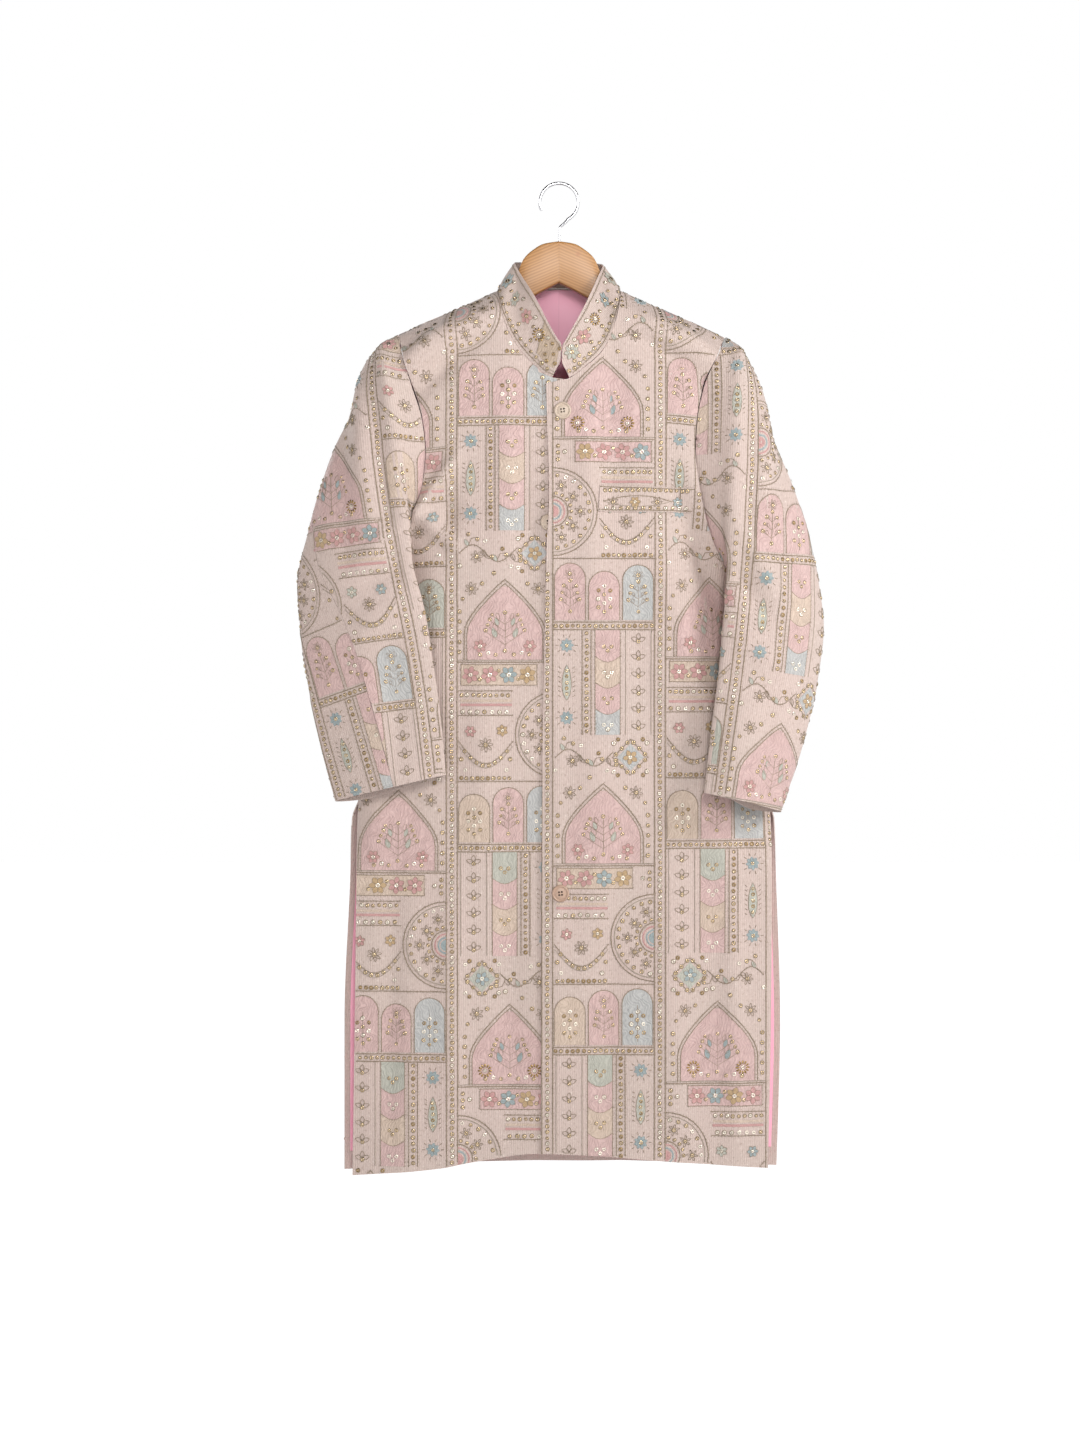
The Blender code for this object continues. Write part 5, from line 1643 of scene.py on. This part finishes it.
    def daisy(self, s, t, reach, rays, outline="line", heart="gold"):
        """Small open flower of looped thread with a ring at its heart."""
        if not self.room(s, t, reach * 0.6):
            return
        turn = self.chance.uniform(0, 6.28)
        for i in range(rays):
            angle = turn + 2 * math.pi * i / rays
            a = reach * 0.3
            self.petal(s + a * math.cos(angle), t + a * math.sin(angle), reach * 0.72, reach * 0.34, angle,
                       None, outline, 0.45, 0.75)
        self.ring(s, t, heart)

    def sun_wheel(self, s, t, reach, spokes=12):
        """Dark metal beads set round like the spokes of a wheel."""
        if not self.room(s, t, reach):
            return
        for i in range(spokes):
            angle = 2 * math.pi * i / spokes
            ca = math.cos(angle)
            sa = math.sin(angle)
            base = len(self.verts)
            for u, w, up in ((0.45, 0.0, 0.5), (0.55, 0.9, 0.4), (0.55, 0.0, 1.5), (0.55, -0.9, 0.4),
                             (0.9, 1.1, 0.4), (0.9, 0.0, 1.6), (0.9, -1.1, 0.4), (1.0, 0.0, 0.5)):
                self.pin(s + u * reach * ca - w * sa, t + u * reach * sa + w * ca, up)
            for face in ((0, 1, 2), (0, 2, 3), (1, 4, 5, 2), (2, 5, 6, 3), (4, 7, 5), (5, 7, 6)):
                self.faces.append(tuple(base + k for k in face))
                self.mats.append("ring_dark")
        self.ring(s, t, "pale", 4.0)

    def sprig(self, s, t, tall, spread, leaf="sky", heart="gold", branches=3):
        """A small upright plant: a stem with paired branches, leaves and rings."""
        self.cord([(s, t), (s + 0.6, t + tall * 0.5), (s, t + tall)], "line", 0.9)
        for i in range(branches):
            up = t + tall * (0.2 + 0.55 * i / max(branches - 1, 1))
            reach = spread * (1.0 - 0.45 * i / max(branches, 1))
            for way in (-1, 1):
                self.cord([(s, up), (s + way * reach * 0.5, up + reach * 0.32),
                           (s + way * reach * 0.92, up + reach * 0.62)], "line", 0.8)
                self.petal(s + way * reach * 0.45, up + reach * 0.36, reach * 0.55, reach * 0.26,
                           math.pi / 2 - way * 0.35, leaf if i % 2 == 0 else None, "line", 0.5, 0.7)
                self.ring(s + way * reach, up + reach * 0.74, heart if i % 2 == 0 else "small")
        self.ring(s, t + tall + 3.0, heart)
        self.ring(s, t + tall * 0.1 - 2.5, "gold")

    def scatter(self):
        """Loose rings and tiny sprigs over what is still bare."""
        low = self.panel.flat.reshape(-1, 2).min(axis=0)
        high = self.panel.flat.reshape(-1, 2).max(axis=0)
        wanted = int(self.panel.area() * 1e4 * RINGS_PER_CM2)
        tries = 0
        while len(self.rings) < wanted and tries < wanted * 6:
            tries += 1
            s = self.chance.uniform(low[0], high[0])
            t = self.chance.uniform(low[1], high[1])
            if any(math.dist(o[:2], (s, t)) < CELL for o in self.neighbours(s, t)):
                continue
            count = len(self.rings)
            self.ring(s, t, self.chance.choice(("gold", "gold", "gold", "pale", "white", "small", "dark")))
            if len(self.rings) > count and self.chance.random() < 0.4:
                turn = self.chance.uniform(0, 6.28)
                for k in range(3):
                    a = turn + k * 1.1
                    self.petal(s + 3.0 * math.cos(a), t + 3.0 * math.sin(a), 5.5, 2.8, a,
                               None, "pale", 0.4, 0.65)

    def build(self):
        """Turn what was worked into two pieces: the thread, and the rings."""
        name = self.panel.name
        made = []
        if self.faces:
            kinds = sorted(set(self.mats))
            mesh = mesh_in_mm(name + "_threads", self.verts, self.faces)
            uv = mesh.uv_layers.new(name="cloth")
            index = np.empty(len(mesh.loops), dtype=np.int32)
            mesh.loops.foreach_get("vertex_index", index)
            places = np.array(self.places, dtype=np.float32) * MM
            uv.data.foreach_set("uv", places[index].ravel())
            dressed(mesh, kinds, [kinds.index(m) for m in self.mats])
            # each face is turned to the side that the panel's outer face looks to
            normals = np.empty(len(mesh.polygons) * 3, dtype=np.float32)
            mesh.polygons.foreach_get("normal", normals)
            normals = normals.reshape(-1, 3)
            turned = []
            for i, face in enumerate(self.faces):
                s, t = self.places[face[0]]
                _, out, _ = self.panel.locate(s, t)
                turned.append(float(np.dot(normals[i], out)) < 0.0)
            if any(turned):
                work = bmesh.new()
                work.from_mesh(mesh)
                work.faces.ensure_lookup_table()
                bmesh.ops.reverse_faces(work, faces=[work.faces[i] for i, flip in enumerate(turned) if flip])
                work.to_mesh(mesh)
                work.free()
            made.append(mesh)
        if self.rings:
            kinds = sorted(set(r[3] for r in self.rings) | {"line"})
            verts = []
            faces = []
            mats = []
            angles = [2 * math.pi * k / RING_SIDES for k in range(RING_SIDES)]
            for s, t, wide, mat in self.rings:
                point, normal, _ = self.panel.locate(s, t)
                normal = Vector(normal)
                lean = Vector((self.chance.uniform(-1, 1), self.chance.uniform(-1, 1),
                               self.chance.uniform(-1, 1))) * RING_LEAN
                facing = (normal + lean).normalized()
                turn = Vector((0, 0, 1)).rotation_difference(facing).to_matrix()
                centre = Vector(point) + normal * 0.75
                base = len(verts)
                r = wide / 2
                rims = [(r, -0.15), (r * 0.76, 0.38), (r * 0.46, -0.15)]
                bands = [(0, kinds.index(mat)), (1, kinds.index(mat))]
                # all but the wide pale rings are held by a loop of thread
                if mat != "ring_pale" or wide < 4.6:
                    rims += [(r + 1.0, -0.6), (r + 0.55, -0.1), (r + 0.1, -0.55)]
                    bands += [(3, kinds.index("line")), (4, kinds.index("line"))]
                for radius, up in rims:
                    for a in angles:
                        verts.append(turn @ Vector((radius * math.cos(a), radius * math.sin(a), up)) + centre)
                for ring_index, number in bands:
                    for k in range(RING_SIDES):
                        j = (k + 1) % RING_SIDES
                        a = base + ring_index * RING_SIDES
                        faces.append((a + k, a + j, a + RING_SIDES + j, a + RING_SIDES + k))
                        mats.append(number)
            mesh = mesh_in_mm(name + "_rings", verts, faces)
            dressed(mesh, kinds, mats)
            made.append(mesh)
        for mesh in made:
            obj = put_in_scene(mesh.name, mesh)
            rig.slot(obj, RECORD_SLOT)
            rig.ride(obj, "root")
            worked[name].append(obj)


# Bands that repeat down each column, highest first: name, height in mm
BANDS = (("niche", 102), ("flowers", 30), ("half_round", 112), ("arches", 74), ("border", 10),
         ("strips", 124), ("vine", 54))
REPEAT = sum(height for _, height in BANDS)
COLUMN = 134.0        # from the middle of one upright bead border to the next
BORDER = 13.0         # width of an upright bead border


def arch_patch(work, s, t, wide, tall, mat, pointed=0.0):
    """An arched patch that stands on t, with its outline of thread; pointed 0 round, 1 ogee."""
    half = wide / 2

    def crown(u):
        rounded = math.sqrt(max(0.0, 1.0 - u * u))
        ogee = 0.62 * math.sqrt(max(0.0, 1.0 - abs(u) ** 1.6)) + 0.38 * (1.0 - abs(u)) ** 1.5
        return (rounded * (1.0 - pointed) + ogee * pointed) * half * (1.0 + 0.35 * pointed)

    spring = tall - crown(0.0)
    across = max(4, int(wide / 5.0))
    down = max(3, int(tall / 6.0))
    grid = []
    for r in range(down + 1):
        line = []
        for c in range(across + 1):
            u = -math.cos(math.pi * c / across)
            line.append((s + u * half, t + (spring + crown(u)) * r / down))
        grid.append(line)
    if mat:
        work.patch(grid, mat)
    path = [(s - half, t)]
    for k in range(15):
        u = math.cos(math.pi * k / 14)
        path.append((s - half * u, t + spring + crown(u)))
    path.append((s + half, t))
    work.cord(path, "line", 1.2)


def half_round(work, s, t, reach, way, heart):
    """Concentric half rings that open to one side, with daisies between them."""
    def at(share, angle):
        return s + way * reach * share * math.cos(angle), t + reach * share * math.sin(angle)

    def middle_of(k, count):
        return math.pi * ((k + 0.5) / count - 0.5)

    for share, cord in ((1.0, "line"), (0.92, "pale"), (0.34, "line"), (0.26, "rose"), (0.18, "sky")):
        path = [at(share, math.pi * (k / 18.0 - 0.5)) for k in range(19)]
        work.cord(path, cord, 1.3 if share > 0.3 else 2.0)
    work.patch([[at(r, math.pi * (k / 8.0 - 0.5)) for k in range(9)] for r in (0.0, 0.13)], heart)
    for k in range(13):
        work.ring(*at(0.83, middle_of(k, 13)), work.chance.choice(("gold", "gold", "white", "small")))
    for k, share in enumerate((0.62, 0.56, 0.62, 0.56, 0.62)):
        work.daisy(*at(share, middle_of(k, 5)), 7.0, 6)
    for k in range(9):
        work.ring(*at(0.42, middle_of(k, 9)), "small")


def band_niche(work, s0, s1, top, low, turn):
    chance = work.chance
    middle = (s0 + s1) / 2 + chance.uniform(-4, 4)
    wide = (s1 - s0) * 0.74
    arch_patch(work, middle, low + 3, wide, top - low - 12, "pink", 1.0)
    arch_patch(work, middle, low + 3, wide + 7, top - low - 7, None, 1.0)
    work.sprig(middle, low + 12, 44, 23, "sky" if turn % 2 == 0 else "sage", "gold", 4)
    for way in (-1, 1):
        if turn % 2 == 0:
            work.sun_wheel(middle + way * wide * 0.33, low + 19, 8.5)
        else:
            work.flower(middle + way * wide * 0.33, low + 19, 8.0, 6, "rose", "line")
        for k in range(3):
            work.ring(middle + way * wide * (0.12 + 0.1 * k), low + 9 + 2 * (k % 2),
                      "white" if k == 1 else "gold")
        for k in range(5):
            work.ring(middle + way * (wide / 2 + 9), low + 12 + 12 * k, "gold")
        work.daisy(middle + way * wide * 0.44, top - 15, 8, 7)
        work.ring(middle + way * wide * 0.3, top - 9, "gold")
        work.ring(middle + way * wide * 0.56, top - 27, "small")
    work.cord([(s0, low), (s1, low)], "line", 1.3)
    work.cord([(s0, low + 2.4), (s1, low + 2.4)], "pale", 0.9)


def band_flowers(work, s0, s1, top, low, turn):
    start = s0 + (s1 - s0) * (0.22 if turn % 2 == 0 else 0.04)
    end = s1 - (s1 - s0) * (0.04 if turn % 2 == 0 else 0.22)
    work.rectangle(start, low + 3, end, top - 3, "pink" if turn % 2 == 0 else "peach")
    for t in (low + 3, top - 3):
        work.cord([(start, t), (end, t)], "line", 1.1)
    for s in (start, end):
        work.cord([(s, low + 3), (s, top - 3)], "line", 1.0)
    kinds = ("rose", "sky", "gold", "rose")
    count = 4
    for k in range(count):
        s = start + (end - start) * (k + 0.5) / count
        work.flower(s, (top + low) / 2, 10.5, 6, kinds[(k + turn) % 4], "line", "white")
        if k < count - 1:
            work.ring(start + (end - start) * (k + 1.0) / count,
                      (top + low) / 2 + (5 if k % 2 else -5), "gold")
    other = s0 + 6 if turn % 2 == 0 else s1 - 6
    for k in range(3):
        work.ring(other, low + 6 + 8 * k, "gold")
    work.ring(other + (8 if turn % 2 == 0 else -8), (top + low) / 2, "pale")


def band_half_round(work, s0, s1, top, low, turn):
    way = 1 if turn % 2 == 0 else -1
    edge = s0 if way > 0 else s1
    reach = (top - low) / 2 - 4
    middle = (top + low) / 2
    half_round(work, edge, middle, reach, way, "rose" if turn % 2 == 0 else "sky")
    near = edge + way * (reach + 3)
    far = s1 - 2 if way > 0 else s0 + 2
    wide = abs(far - near)
    mid = (near + far) / 2
    # coral bars with a ring row above and below
    work.ring_row((near + way * 2, top - 9), (far, top - 9), 6.6)
    a, b = (near, far) if near < far else (far, near)
    work.rectangle(a + 2, top - 17, b - 1, top - 14, "peach", 0.4)
    work.rectangle(a + 2, top - 22, b - 1, top - 19, "rose", 0.4)
    work.ring_row((near + way * 3, top - 29), (far, top - 29), 8.0, ("white", "gold", "pale"))
    for t in (top - 4, top - 33):
        work.cord([(near, t), (far, t)], "line", 1.0)
    # a swag with flowers over it
    swag = [(near + (far - near) * k / 12.0, middle - 8 - 26 * math.sin(math.pi * k / 12.0))
            for k in range(13)]
    work.cord(swag, "line", 1.1)
    work.cord([(x, t - 5.5) for x, t in swag], "pale", 0.9)
    for k in range(1, 9):
        work.ring(near + (far - near) * k / 9.0, middle - 10.6 - 26 * math.sin(math.pi * k / 9.0), "gold")
    work.daisy(mid, middle - 12, 8.5, 8)
    work.flower(mid - way * wide * 0.3, middle + 5, 7, 6, "sage" if turn % 2 == 0 else "gold")
    work.flower(mid + way * wide * 0.28, middle + 4, 7, 6, "sky" if turn % 2 == 0 else "rose")
    for k in (-1, 1):
        work.ring(mid + k * wide * 0.38, low + 14, "white")
        work.ring(mid + k * wide * 0.45, low + 27, "gold")
    work.ring_row((near + way * 1, low + 4.5), (far, low + 4.5), 6.2, ("dark", "gold", "small"))
    work.cord([(s0, low + 0.5), (s1, low + 0.5)], "line", 1.1)


def band_arches(work, s0, s1, top, low, turn):
    fills = (("peach", "pink", "blue"), ("blue", "pink", "sage"), ("pink", "pink", "blue"))[turn % 3]
    wide = (s1 - s0) / 3.0
    for k in range(3):
        s = s0 + wide * (k + 0.5)
        tall = (top - low - 5) * (0.86, 0.97, 1.0)[(k + turn) % 3]
        arch_patch(work, s, low + 2, wide - 4, tall - 2, fills[k])
        if (k + turn) % 2 == 0:
            work.sprig(s, low + 11, tall * 0.5, 11, None, "gold", 3)
            work.daisy(s, low + tall * 0.82, 6.5, 7, "line", "gold")
        else:
            for j in range(4):
                work.ring(s, low + 12 + j * 10, "white" if j % 2 else "gold")
                if j:
                    for way in (-1, 1):
                        work.ring(s + way * 7, low + 7 + j * 10, ("dark", "gold", "white")[j % 3])
            work.cord([(s, low + 6), (s, low + tall * 0.72)], "line", 0.9)


def band_border(work, s0, s1, top, low, turn):
    for t in (top - 0.5, low + 0.5):
        work.cord([(s0, t), (s1, t)], "line", 1.3)
    work.ring_row((s0, (top + low) / 2), (s1, (top + low) / 2), 6.4, ("dark", "gold", "gold", "small"))


def band_strips(work, s0, s1, top, low, turn):
    order = ("leaf", "row", "scales", "buds") if turn % 2 == 0 else ("buds", "scales", "row", "leaf")
    widths = {"leaf": 0.27, "row": 0.12, "scales": 0.29, "buds": 0.32}
    s = s0
    for kind in order:
        wide = (s1 - s0) * widths[kind]
        middle = s + wide / 2
        if kind == "leaf":
            for t in (top - 18, low + 20):
                work.flower(middle, t, 8.0, 8, "sky", "sky", "gold")
                for k in range(10):
                    a = 2 * math.pi * k / 10
                    work.cord([(middle + 9.5 * math.cos(a), t + 9.5 * math.sin(a)),
                               (middle + 13 * math.cos(a), t + 13 * math.sin(a))], "line", 0.9)
            t = (top + low) / 2
            work.petal(middle, t - 21, 42, 11, math.pi / 2, "sage", "line", 0.5, 0.9)
            for k in range(5):
                work.ring(middle, t - 14 + 7 * k, "dark" if k % 2 else "gold")
            for k in range(7):
                for way in (-1, 1):
                    work.cord([(middle + way * 7, t - 17 + 5.6 * k), (middle + way * 10, t - 15 + 5.6 * k)],
                              "line", 0.8)
        elif kind == "row":
            for side in (-0.36, 0.36):
                work.cord([(middle + wide * side, low), (middle + wide * side, top)], "line", 1.0)
            work.ring_row((middle, low), (middle, top), 7.4, ("gold", "small", "dark"))
        elif kind == "scales":
            left = middle - wide * 0.42
            right = middle + wide * 0.42
            fills = ("pink", "peach", "pink", "blue") if turn % 2 == 0 else ("sage", "pink", "peach", "pink")
            count = 4
            step = (top - low) / count
            for k in range(count):
                high = top - step * k
                rows = []
                for r in range(6):
                    v = r / 5.0
                    line = []
                    for c in range(7):
                        u = c / 6.0
                        bow = 7.0 * math.sin(math.pi * u)
                        over = high - (bow if k else 0.0)
                        under = high - step - (bow if k < count - 1 else 0.0)
                        line.append((left + (right - left) * u, over + (under - over) * v))
                    rows.append(line)
                work.patch(rows, fills[k])
                if k < count - 1:
                    work.cord(rows[-1], "line", 1.1)
                for way in (-1, 0, 1):
                    work.ring(middle + way * 4.6, high - step * 0.62 - (0 if way else 5),
                              "white" if k % 2 else "gold")
            for x in (left, right):
                work.cord([(x, low), (x, top)], "line", 1.0)
        else:
            count = 6
            for k in range(count):
                t = low + (top - low) * (k + 0.5) / count
                for a in (0.35, math.pi - 0.35, math.pi / 2):
                    work.petal(middle, t - 2, 9.0, 5.0, a, None, "line", 0.5, 0.8)
                work.ring(middle, t - 3, "gold")
            for way in (-1, 1):
                work.cord([(middle + way * wide * 0.4, low), (middle + way * wide * 0.4, top)], "pale", 0.9)
        s += wide


def band_vine(work, s0, s1, top, low, turn):
    way = 1 if turn % 2 == 0 else -1
    middle = (top + low) / 2
    start = s0 + 3 if way > 0 else s1 - 3
    length = (s1 - s0) * 0.56
    path = [(start + way * length * k / 20.0, middle + 10 * math.sin(2.2 * math.pi * k / 20.0))
            for k in range(21)]
    work.cord(path, "line", 1.1)
    for k in (3, 8, 13, 18):
        p = path[k]
        up = 1 if k % 2 else -1
        work.cord([p, (p[0] + way * 4, p[1] + up * 9), (p[0] + way * 9, p[1] + up * 10)], "line", 0.9)
        work.ring(p[0] + way * 11, p[1] + up * 8, "gold")
        work.petal(p[0], p[1], 9, 4.5, math.pi / 2 * up + 0.5, "sage" if k % 2 else None, "line", 0.5, 0.7)
    work.daisy(path[6][0], path[6][1] - 13, 7.5, 7)
    for k in range(7):
        work.ring(path[3 * k][0], path[3 * k][1] + (14 if k % 2 else -15), ("white", "gold", "dark")[k % 3])
    s = (s1 - (s1 - s0) * 0.24) if way > 0 else (s0 + (s1 - s0) * 0.24)
    r = 21.0
    corners = [(s, middle + r), (s + r, middle), (s, middle - r), (s - r, middle)]
    rows = []
    for i in range(6):
        line = []
        for j in range(6):
            u = i / 5.0 - 0.5
            v = j / 5.0 - 0.5
            line.append((s + (u + v) * (r - 5), middle + (u - v) * (r - 5)))
        rows.append(line)
    work.patch(rows, ("sage", "peach", "blue")[turn % 3])
    work.cord(corners, "line", 1.2, closed=True)
    work.flower(s, middle, 9, 5, "sky" if turn % 3 == 0 else "gold", "line", "white")
    for k in range(12):
        a, b = corners[k // 3], corners[(k // 3 + 1) % 4]
        u = (k % 3 + 0.5) / 3.0
        work.ring(a[0] + (b[0] - a[0]) * u, a[1] + (b[1] - a[1]) * u, "gold")
    for dx, dt in ((-20, 17), (20, 17), (-20, -17), (20, -17)):
        work.ring(s + dx, middle + dt, "white")
        work.ring(s + dx * 0.75, middle + dt * 1.25, "dark")


DRAW = {"niche": band_niche, "flowers": band_flowers, "half_round": band_half_round, "arches": band_arches,
        "border": band_border, "strips": band_strips, "vine": band_vine}


def column(work, left, niche_top, order):
    """One column of bands over the panel's whole length; left is the middle of its left border."""
    low_t = float(work.panel.flat[..., 1].min())
    high_t = float(work.panel.flat[..., 1].max())
    s0 = left + BORDER / 2
    s1 = left + COLUMN - BORDER / 2
    top = niche_top
    while top - REPEAT < high_t:
        top += REPEAT
    cycle = 0
    while top > low_t:
        for kind, height in BANDS:
            if top > low_t and top - height < high_t:
                DRAW[kind](work, s0, s1, top, top - height, order + cycle)
            top -= height
        cycle += 1


def upright_border(work, s):
    low_t = float(work.panel.flat[..., 1].min())
    high_t = float(work.panel.flat[..., 1].max())
    for side in (-BORDER / 2, BORDER / 2):
        work.cord([(s + side, low_t), (s + side, high_t)], "line", 1.4, step=6.0)
    work.ring_row((s, low_t), (s, high_t), 6.8, ("gold", "gold", "small", "pale"))


def work_panel(name, seed, borders, columns):
    work = Work(panels[name], seed)
    for s in borders:
        upright_border(work, s)
    for left, niche_top, order in columns:
        column(work, left, niche_top, order)
    work.scatter()
    work.build()
    print("worked", name, len(work.faces), "thread faces,", len(work.rings), "rings")


# Columns of each piece: borders, then left border, height of a niche's top, order of the details
work_panel("front_over", 11, (-14.0, 120.0, 254.0),
           ((-14.0, -713.0, 0), (120.0, -467.0, 1)))
work_panel("front_under", 12, (-127.5, 6.5, -261.5),
           ((-127.5, -471.0, 1), (-261.5, -722.0, 2)))
work_panel("back_left", 13, (-6.8, -140.8, -274.8), ((-140.8, -640.0, 1), (-274.8, -400.0, 0)))
work_panel("back_right", 14, (6.8, 140.8, 274.8), ((6.8, -640.0, 0), (140.8, -400.0, 1)))
work_panel("sleeve_upper_right", 15, (18.0, 152.0, -116.0),
           ((18.0, 38.0, 1), (152.0, -190.0, 0), (-116.0, -215.0, 2)))
work_panel("sleeve_upper_left", 16, (-18.0, -152.0, 116.0),
           ((-152.0, -150.0, 0), (-286.0, -380.0, 1), (-18.0, 90.0, 2)))
work_panel("sleeve_under_right", 17, (-70.0,), ((-70.0, -300.0, 1), (-204.0, -100.0, 0)))
work_panel("sleeve_under_left", 18, (-70.0,), ((-204.0, -300.0, 1), (-70.0, -100.0, 0)))


def work_welt():
    work = Work(panels["chest_welt"], 20)
    places = work.panel.flat
    rows, cols = work.panel.rows, work.panel.cols
    for r, inner in ((0, 1), (rows - 1, rows - 2)):
        work.cord([tuple(places[r, c] * 0.6 + places[inner, c] * 0.4) for c in range(cols)], "line", 1.2)
    low = places[-1, :, 1].min()
    high = places[0, :, 1].max()
    left = places[:, 0, 0].max()
    right = places[:, -1, 0].min()
    middle = (low + high) / 2
    work.ring_row((left + 3, high - 6.2), (right - 3, high - 6.2), 6.6, ("gold", "gold", "small"))
    lens = [(left + 4 + (right - left - 30) * k / 16.0, middle - 3 + 6.5 * math.sin(math.pi * k / 16.0))
            for k in range(17)]
    work.cord(lens, "line", 1.0)
    work.cord([(x, 2 * (middle - 3) - t) for x, t in lens], "pale", 0.9)
    for k in range(4):
        s = left + 16 + (right - left - 34) * k / 3.0
        if k % 2:
            work.flower(s, middle - 4, 6.5, 6, "gold" if k == 1 else "sky", "line")
        else:
            work.daisy(s, middle - 4, 6.5, 6)
    work.ring_row((left + 3, low + 5), (right - 3, low + 5), 8.5, ("gold", "small", "pale"))
    work.cord([(right - 15, low + 2), (right - 15, high - 2)], "line", 1.1)
    work.build()


work_welt()


COLLAR_PATCH = (1, 10)    # columns of the collar under the patch at its left front end


def work_collar():
    panel = panels["collar"]
    work = Work(panel, 19)
    places = panel.flat
    for share, mat in ((0.07, "line"), (0.2, "pale"), (0.93, "line")):
        r = int(round(share * (panel.rows - 1)))
        work.cord([tuple(places[r, c]) for c in range(0, panel.cols, 3)], mat, 1.2)
    rows = [[places[int(round(share * (panel.rows - 1))), c] for c in range(*COLLAR_PATCH)]
            for share in (0.22, 0.4, 0.58, 0.76, 0.9)]
    work.patch(rows, "tan", 0.3)
    work.cord([tuple(line[-1]) for line in rows], "line", 1.2)
    r = int(round(0.13 * (panel.rows - 1)))
    line = [tuple(places[r, c]) for c in range(panel.cols)]
    at = 0.0
    for a, b in zip(line, line[1:]):
        at += math.dist(a, b)
        if at > 7.0:
            at = 0.0
            work.ring(b[0], b[1], work.chance.choice(("gold", "gold", "small")))
    mid_row = int(round(0.56 * (panel.rows - 1)))
    kinds = ("sky", "gold", "rose", "sage")
    count = 16
    for k in range(count):
        c = int((k + 0.5) / count * (panel.cols - 1))
        s, t = places[mid_row, c]
        if c < COLLAR_PATCH[1]:
            for across, up in ((-7, 8), (3, 10), (-3, -1), (6, -6), (-9, -10), (1, -12)):
                work.ring(s + across, t + up, "dark")
        elif k % 4 == 1:
            work.sun_wheel(s, t, 8.5)
        else:
            work.flower(s, t, 9.5, 7 if k % 2 else 6, kinds[k % 4], "line", "gold")
        c = int(min((k + 1.0) / count, 0.97) * (panel.cols - 1))
        for row_share, kind in ((0.36, "gold"), (0.74, "pale"), (0.55, "small")):
            r = int(round(row_share * (panel.rows - 1)))
            work.ring(places[r, c, 0], places[r, c, 1], kind)
    work.build()


work_collar()


def declare_sheets():
    for name, panel in panels.items():
        places = panel.flat.reshape(-1, 2)
        wide = float(np.ptp(places[:, 0])) * MM
        long = float(np.ptp(places[:, 1])) * MM
        area = min(panel.area(), wide * long)
        held = "stretched" if name in ("collar", "chest_welt") else "hung"
        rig.sheet(panel.object, flat=(wide, long), held=held, rests_on=HANGS_FROM[name], area=area,
                 with_pieces=worked[name])
        print("cut", name, round(wide * 1000), "x", round(long * 1000), "mm,", round(area * 1e4), "cm2")


declare_sheets()


# Floor, light and camera
def studio():
    bpy.context.scene.view_settings.view_transform = "Standard"
    floor_mesh = bpy.data.meshes.new("studio_floor")
    floor_z = -2.3
    floor_mesh.from_pydata([(-30, -30, floor_z), (30, -30, floor_z), (30, 30, floor_z), (-30, 30, floor_z)],
                           [], [(0, 1, 2, 3)])
    floor = put_in_scene("studio_floor", floor_mesh)
    mat, nodes, links, surface = new_material("studio_floor_white")
    surface.inputs["Base Color"].default_value = (0.85, 0.85, 0.85, 1.0)
    surface.inputs["Roughness"].default_value = 1.0
    surface.inputs["Emission Color"].default_value = (1.0, 1.0, 1.0, 1.0)
    coords = nodes.new("ShaderNodeTexCoord")
    flat_place = nodes.new("ShaderNodeVectorMath")
    flat_place.operation = "MULTIPLY"
    flat_place.inputs[1].default_value = (1.0, 1.0, 0.0)
    links.new(coords.outputs["Object"], flat_place.inputs[0])
    away = nodes.new("ShaderNodeVectorMath")
    away.operation = "LENGTH"
    links.new(flat_place.outputs[0], away.inputs[0])
    glow = eased_range(nodes, links, away.outputs["Value"], 1.2, 3.4, 0.1, 0.95)
    links.new(glow, surface.inputs["Emission Strength"])
    floor_mesh.materials.append(mat)
    staged = [floor]
    for name, place, size, power, aim in (
            ("soft_key", (3.0, -1.8, 1.2), 1.0, 92.0, (0, 0, -0.6)),
            ("soft_front", (0.35, -3.2, 0.6), 0.8, 50.0, (0, 0, -0.25)),
            ("soft_fill", (-2.8, -2.4, 0.2), 2.4, 1.5, (0, 0, -0.6)),
            ("soft_back_left", (-2.4, 2.6, 1.3), 1.6, 44.0, (0, 0, -0.6)),
            ("soft_back_right", (2.6, 2.4, 0.6), 2.4, 12.0, (0, 0, -0.6))):
        light = bpy.data.lights.new(name, "AREA")
        light.shape = "SQUARE"
        light.size = size
        light.energy = power
        obj = put_in_scene(name, light)
        obj.location = place
        obj.rotation_euler = (Vector(aim) - Vector(place)).to_track_quat("-Z", "Y").to_euler()
        staged.append(obj)
    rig.stage(*staged)
    # a white room that is darker overhead, so that the folds keep their shade
    world = bpy.data.worlds.new("white_room")
    bpy.context.scene.world = world
    world.use_nodes = True
    nodes = world.node_tree.nodes
    links = world.node_tree.links
    parts = place_parts(nodes, links, "Generated")
    band = eased_range(nodes, links, parts.outputs[2], 0.25, 0.36, 1.0, 0.05)
    nodes["Background"].inputs["Color"].default_value = (1.0, 1.0, 1.0, 1.0)
    links.new(band, nodes["Background"].inputs["Strength"])
    camera_data = bpy.data.cameras.new("camera")
    camera_data.lens = 72.0
    camera_data.sensor_width = 36.0
    camera = put_in_scene("camera", camera_data)
    camera.location = (-0.0228, -3.456, -0.642)
    camera.rotation_euler = (math.pi / 2, 0.0, 0.0)
    bpy.context.scene.camera = camera


studio()

with open("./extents.json", "w") as out:
    json.dump([[[float(c) for c in p] for p in cad_box], [[float(c) for c in p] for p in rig.bounds()]], out)
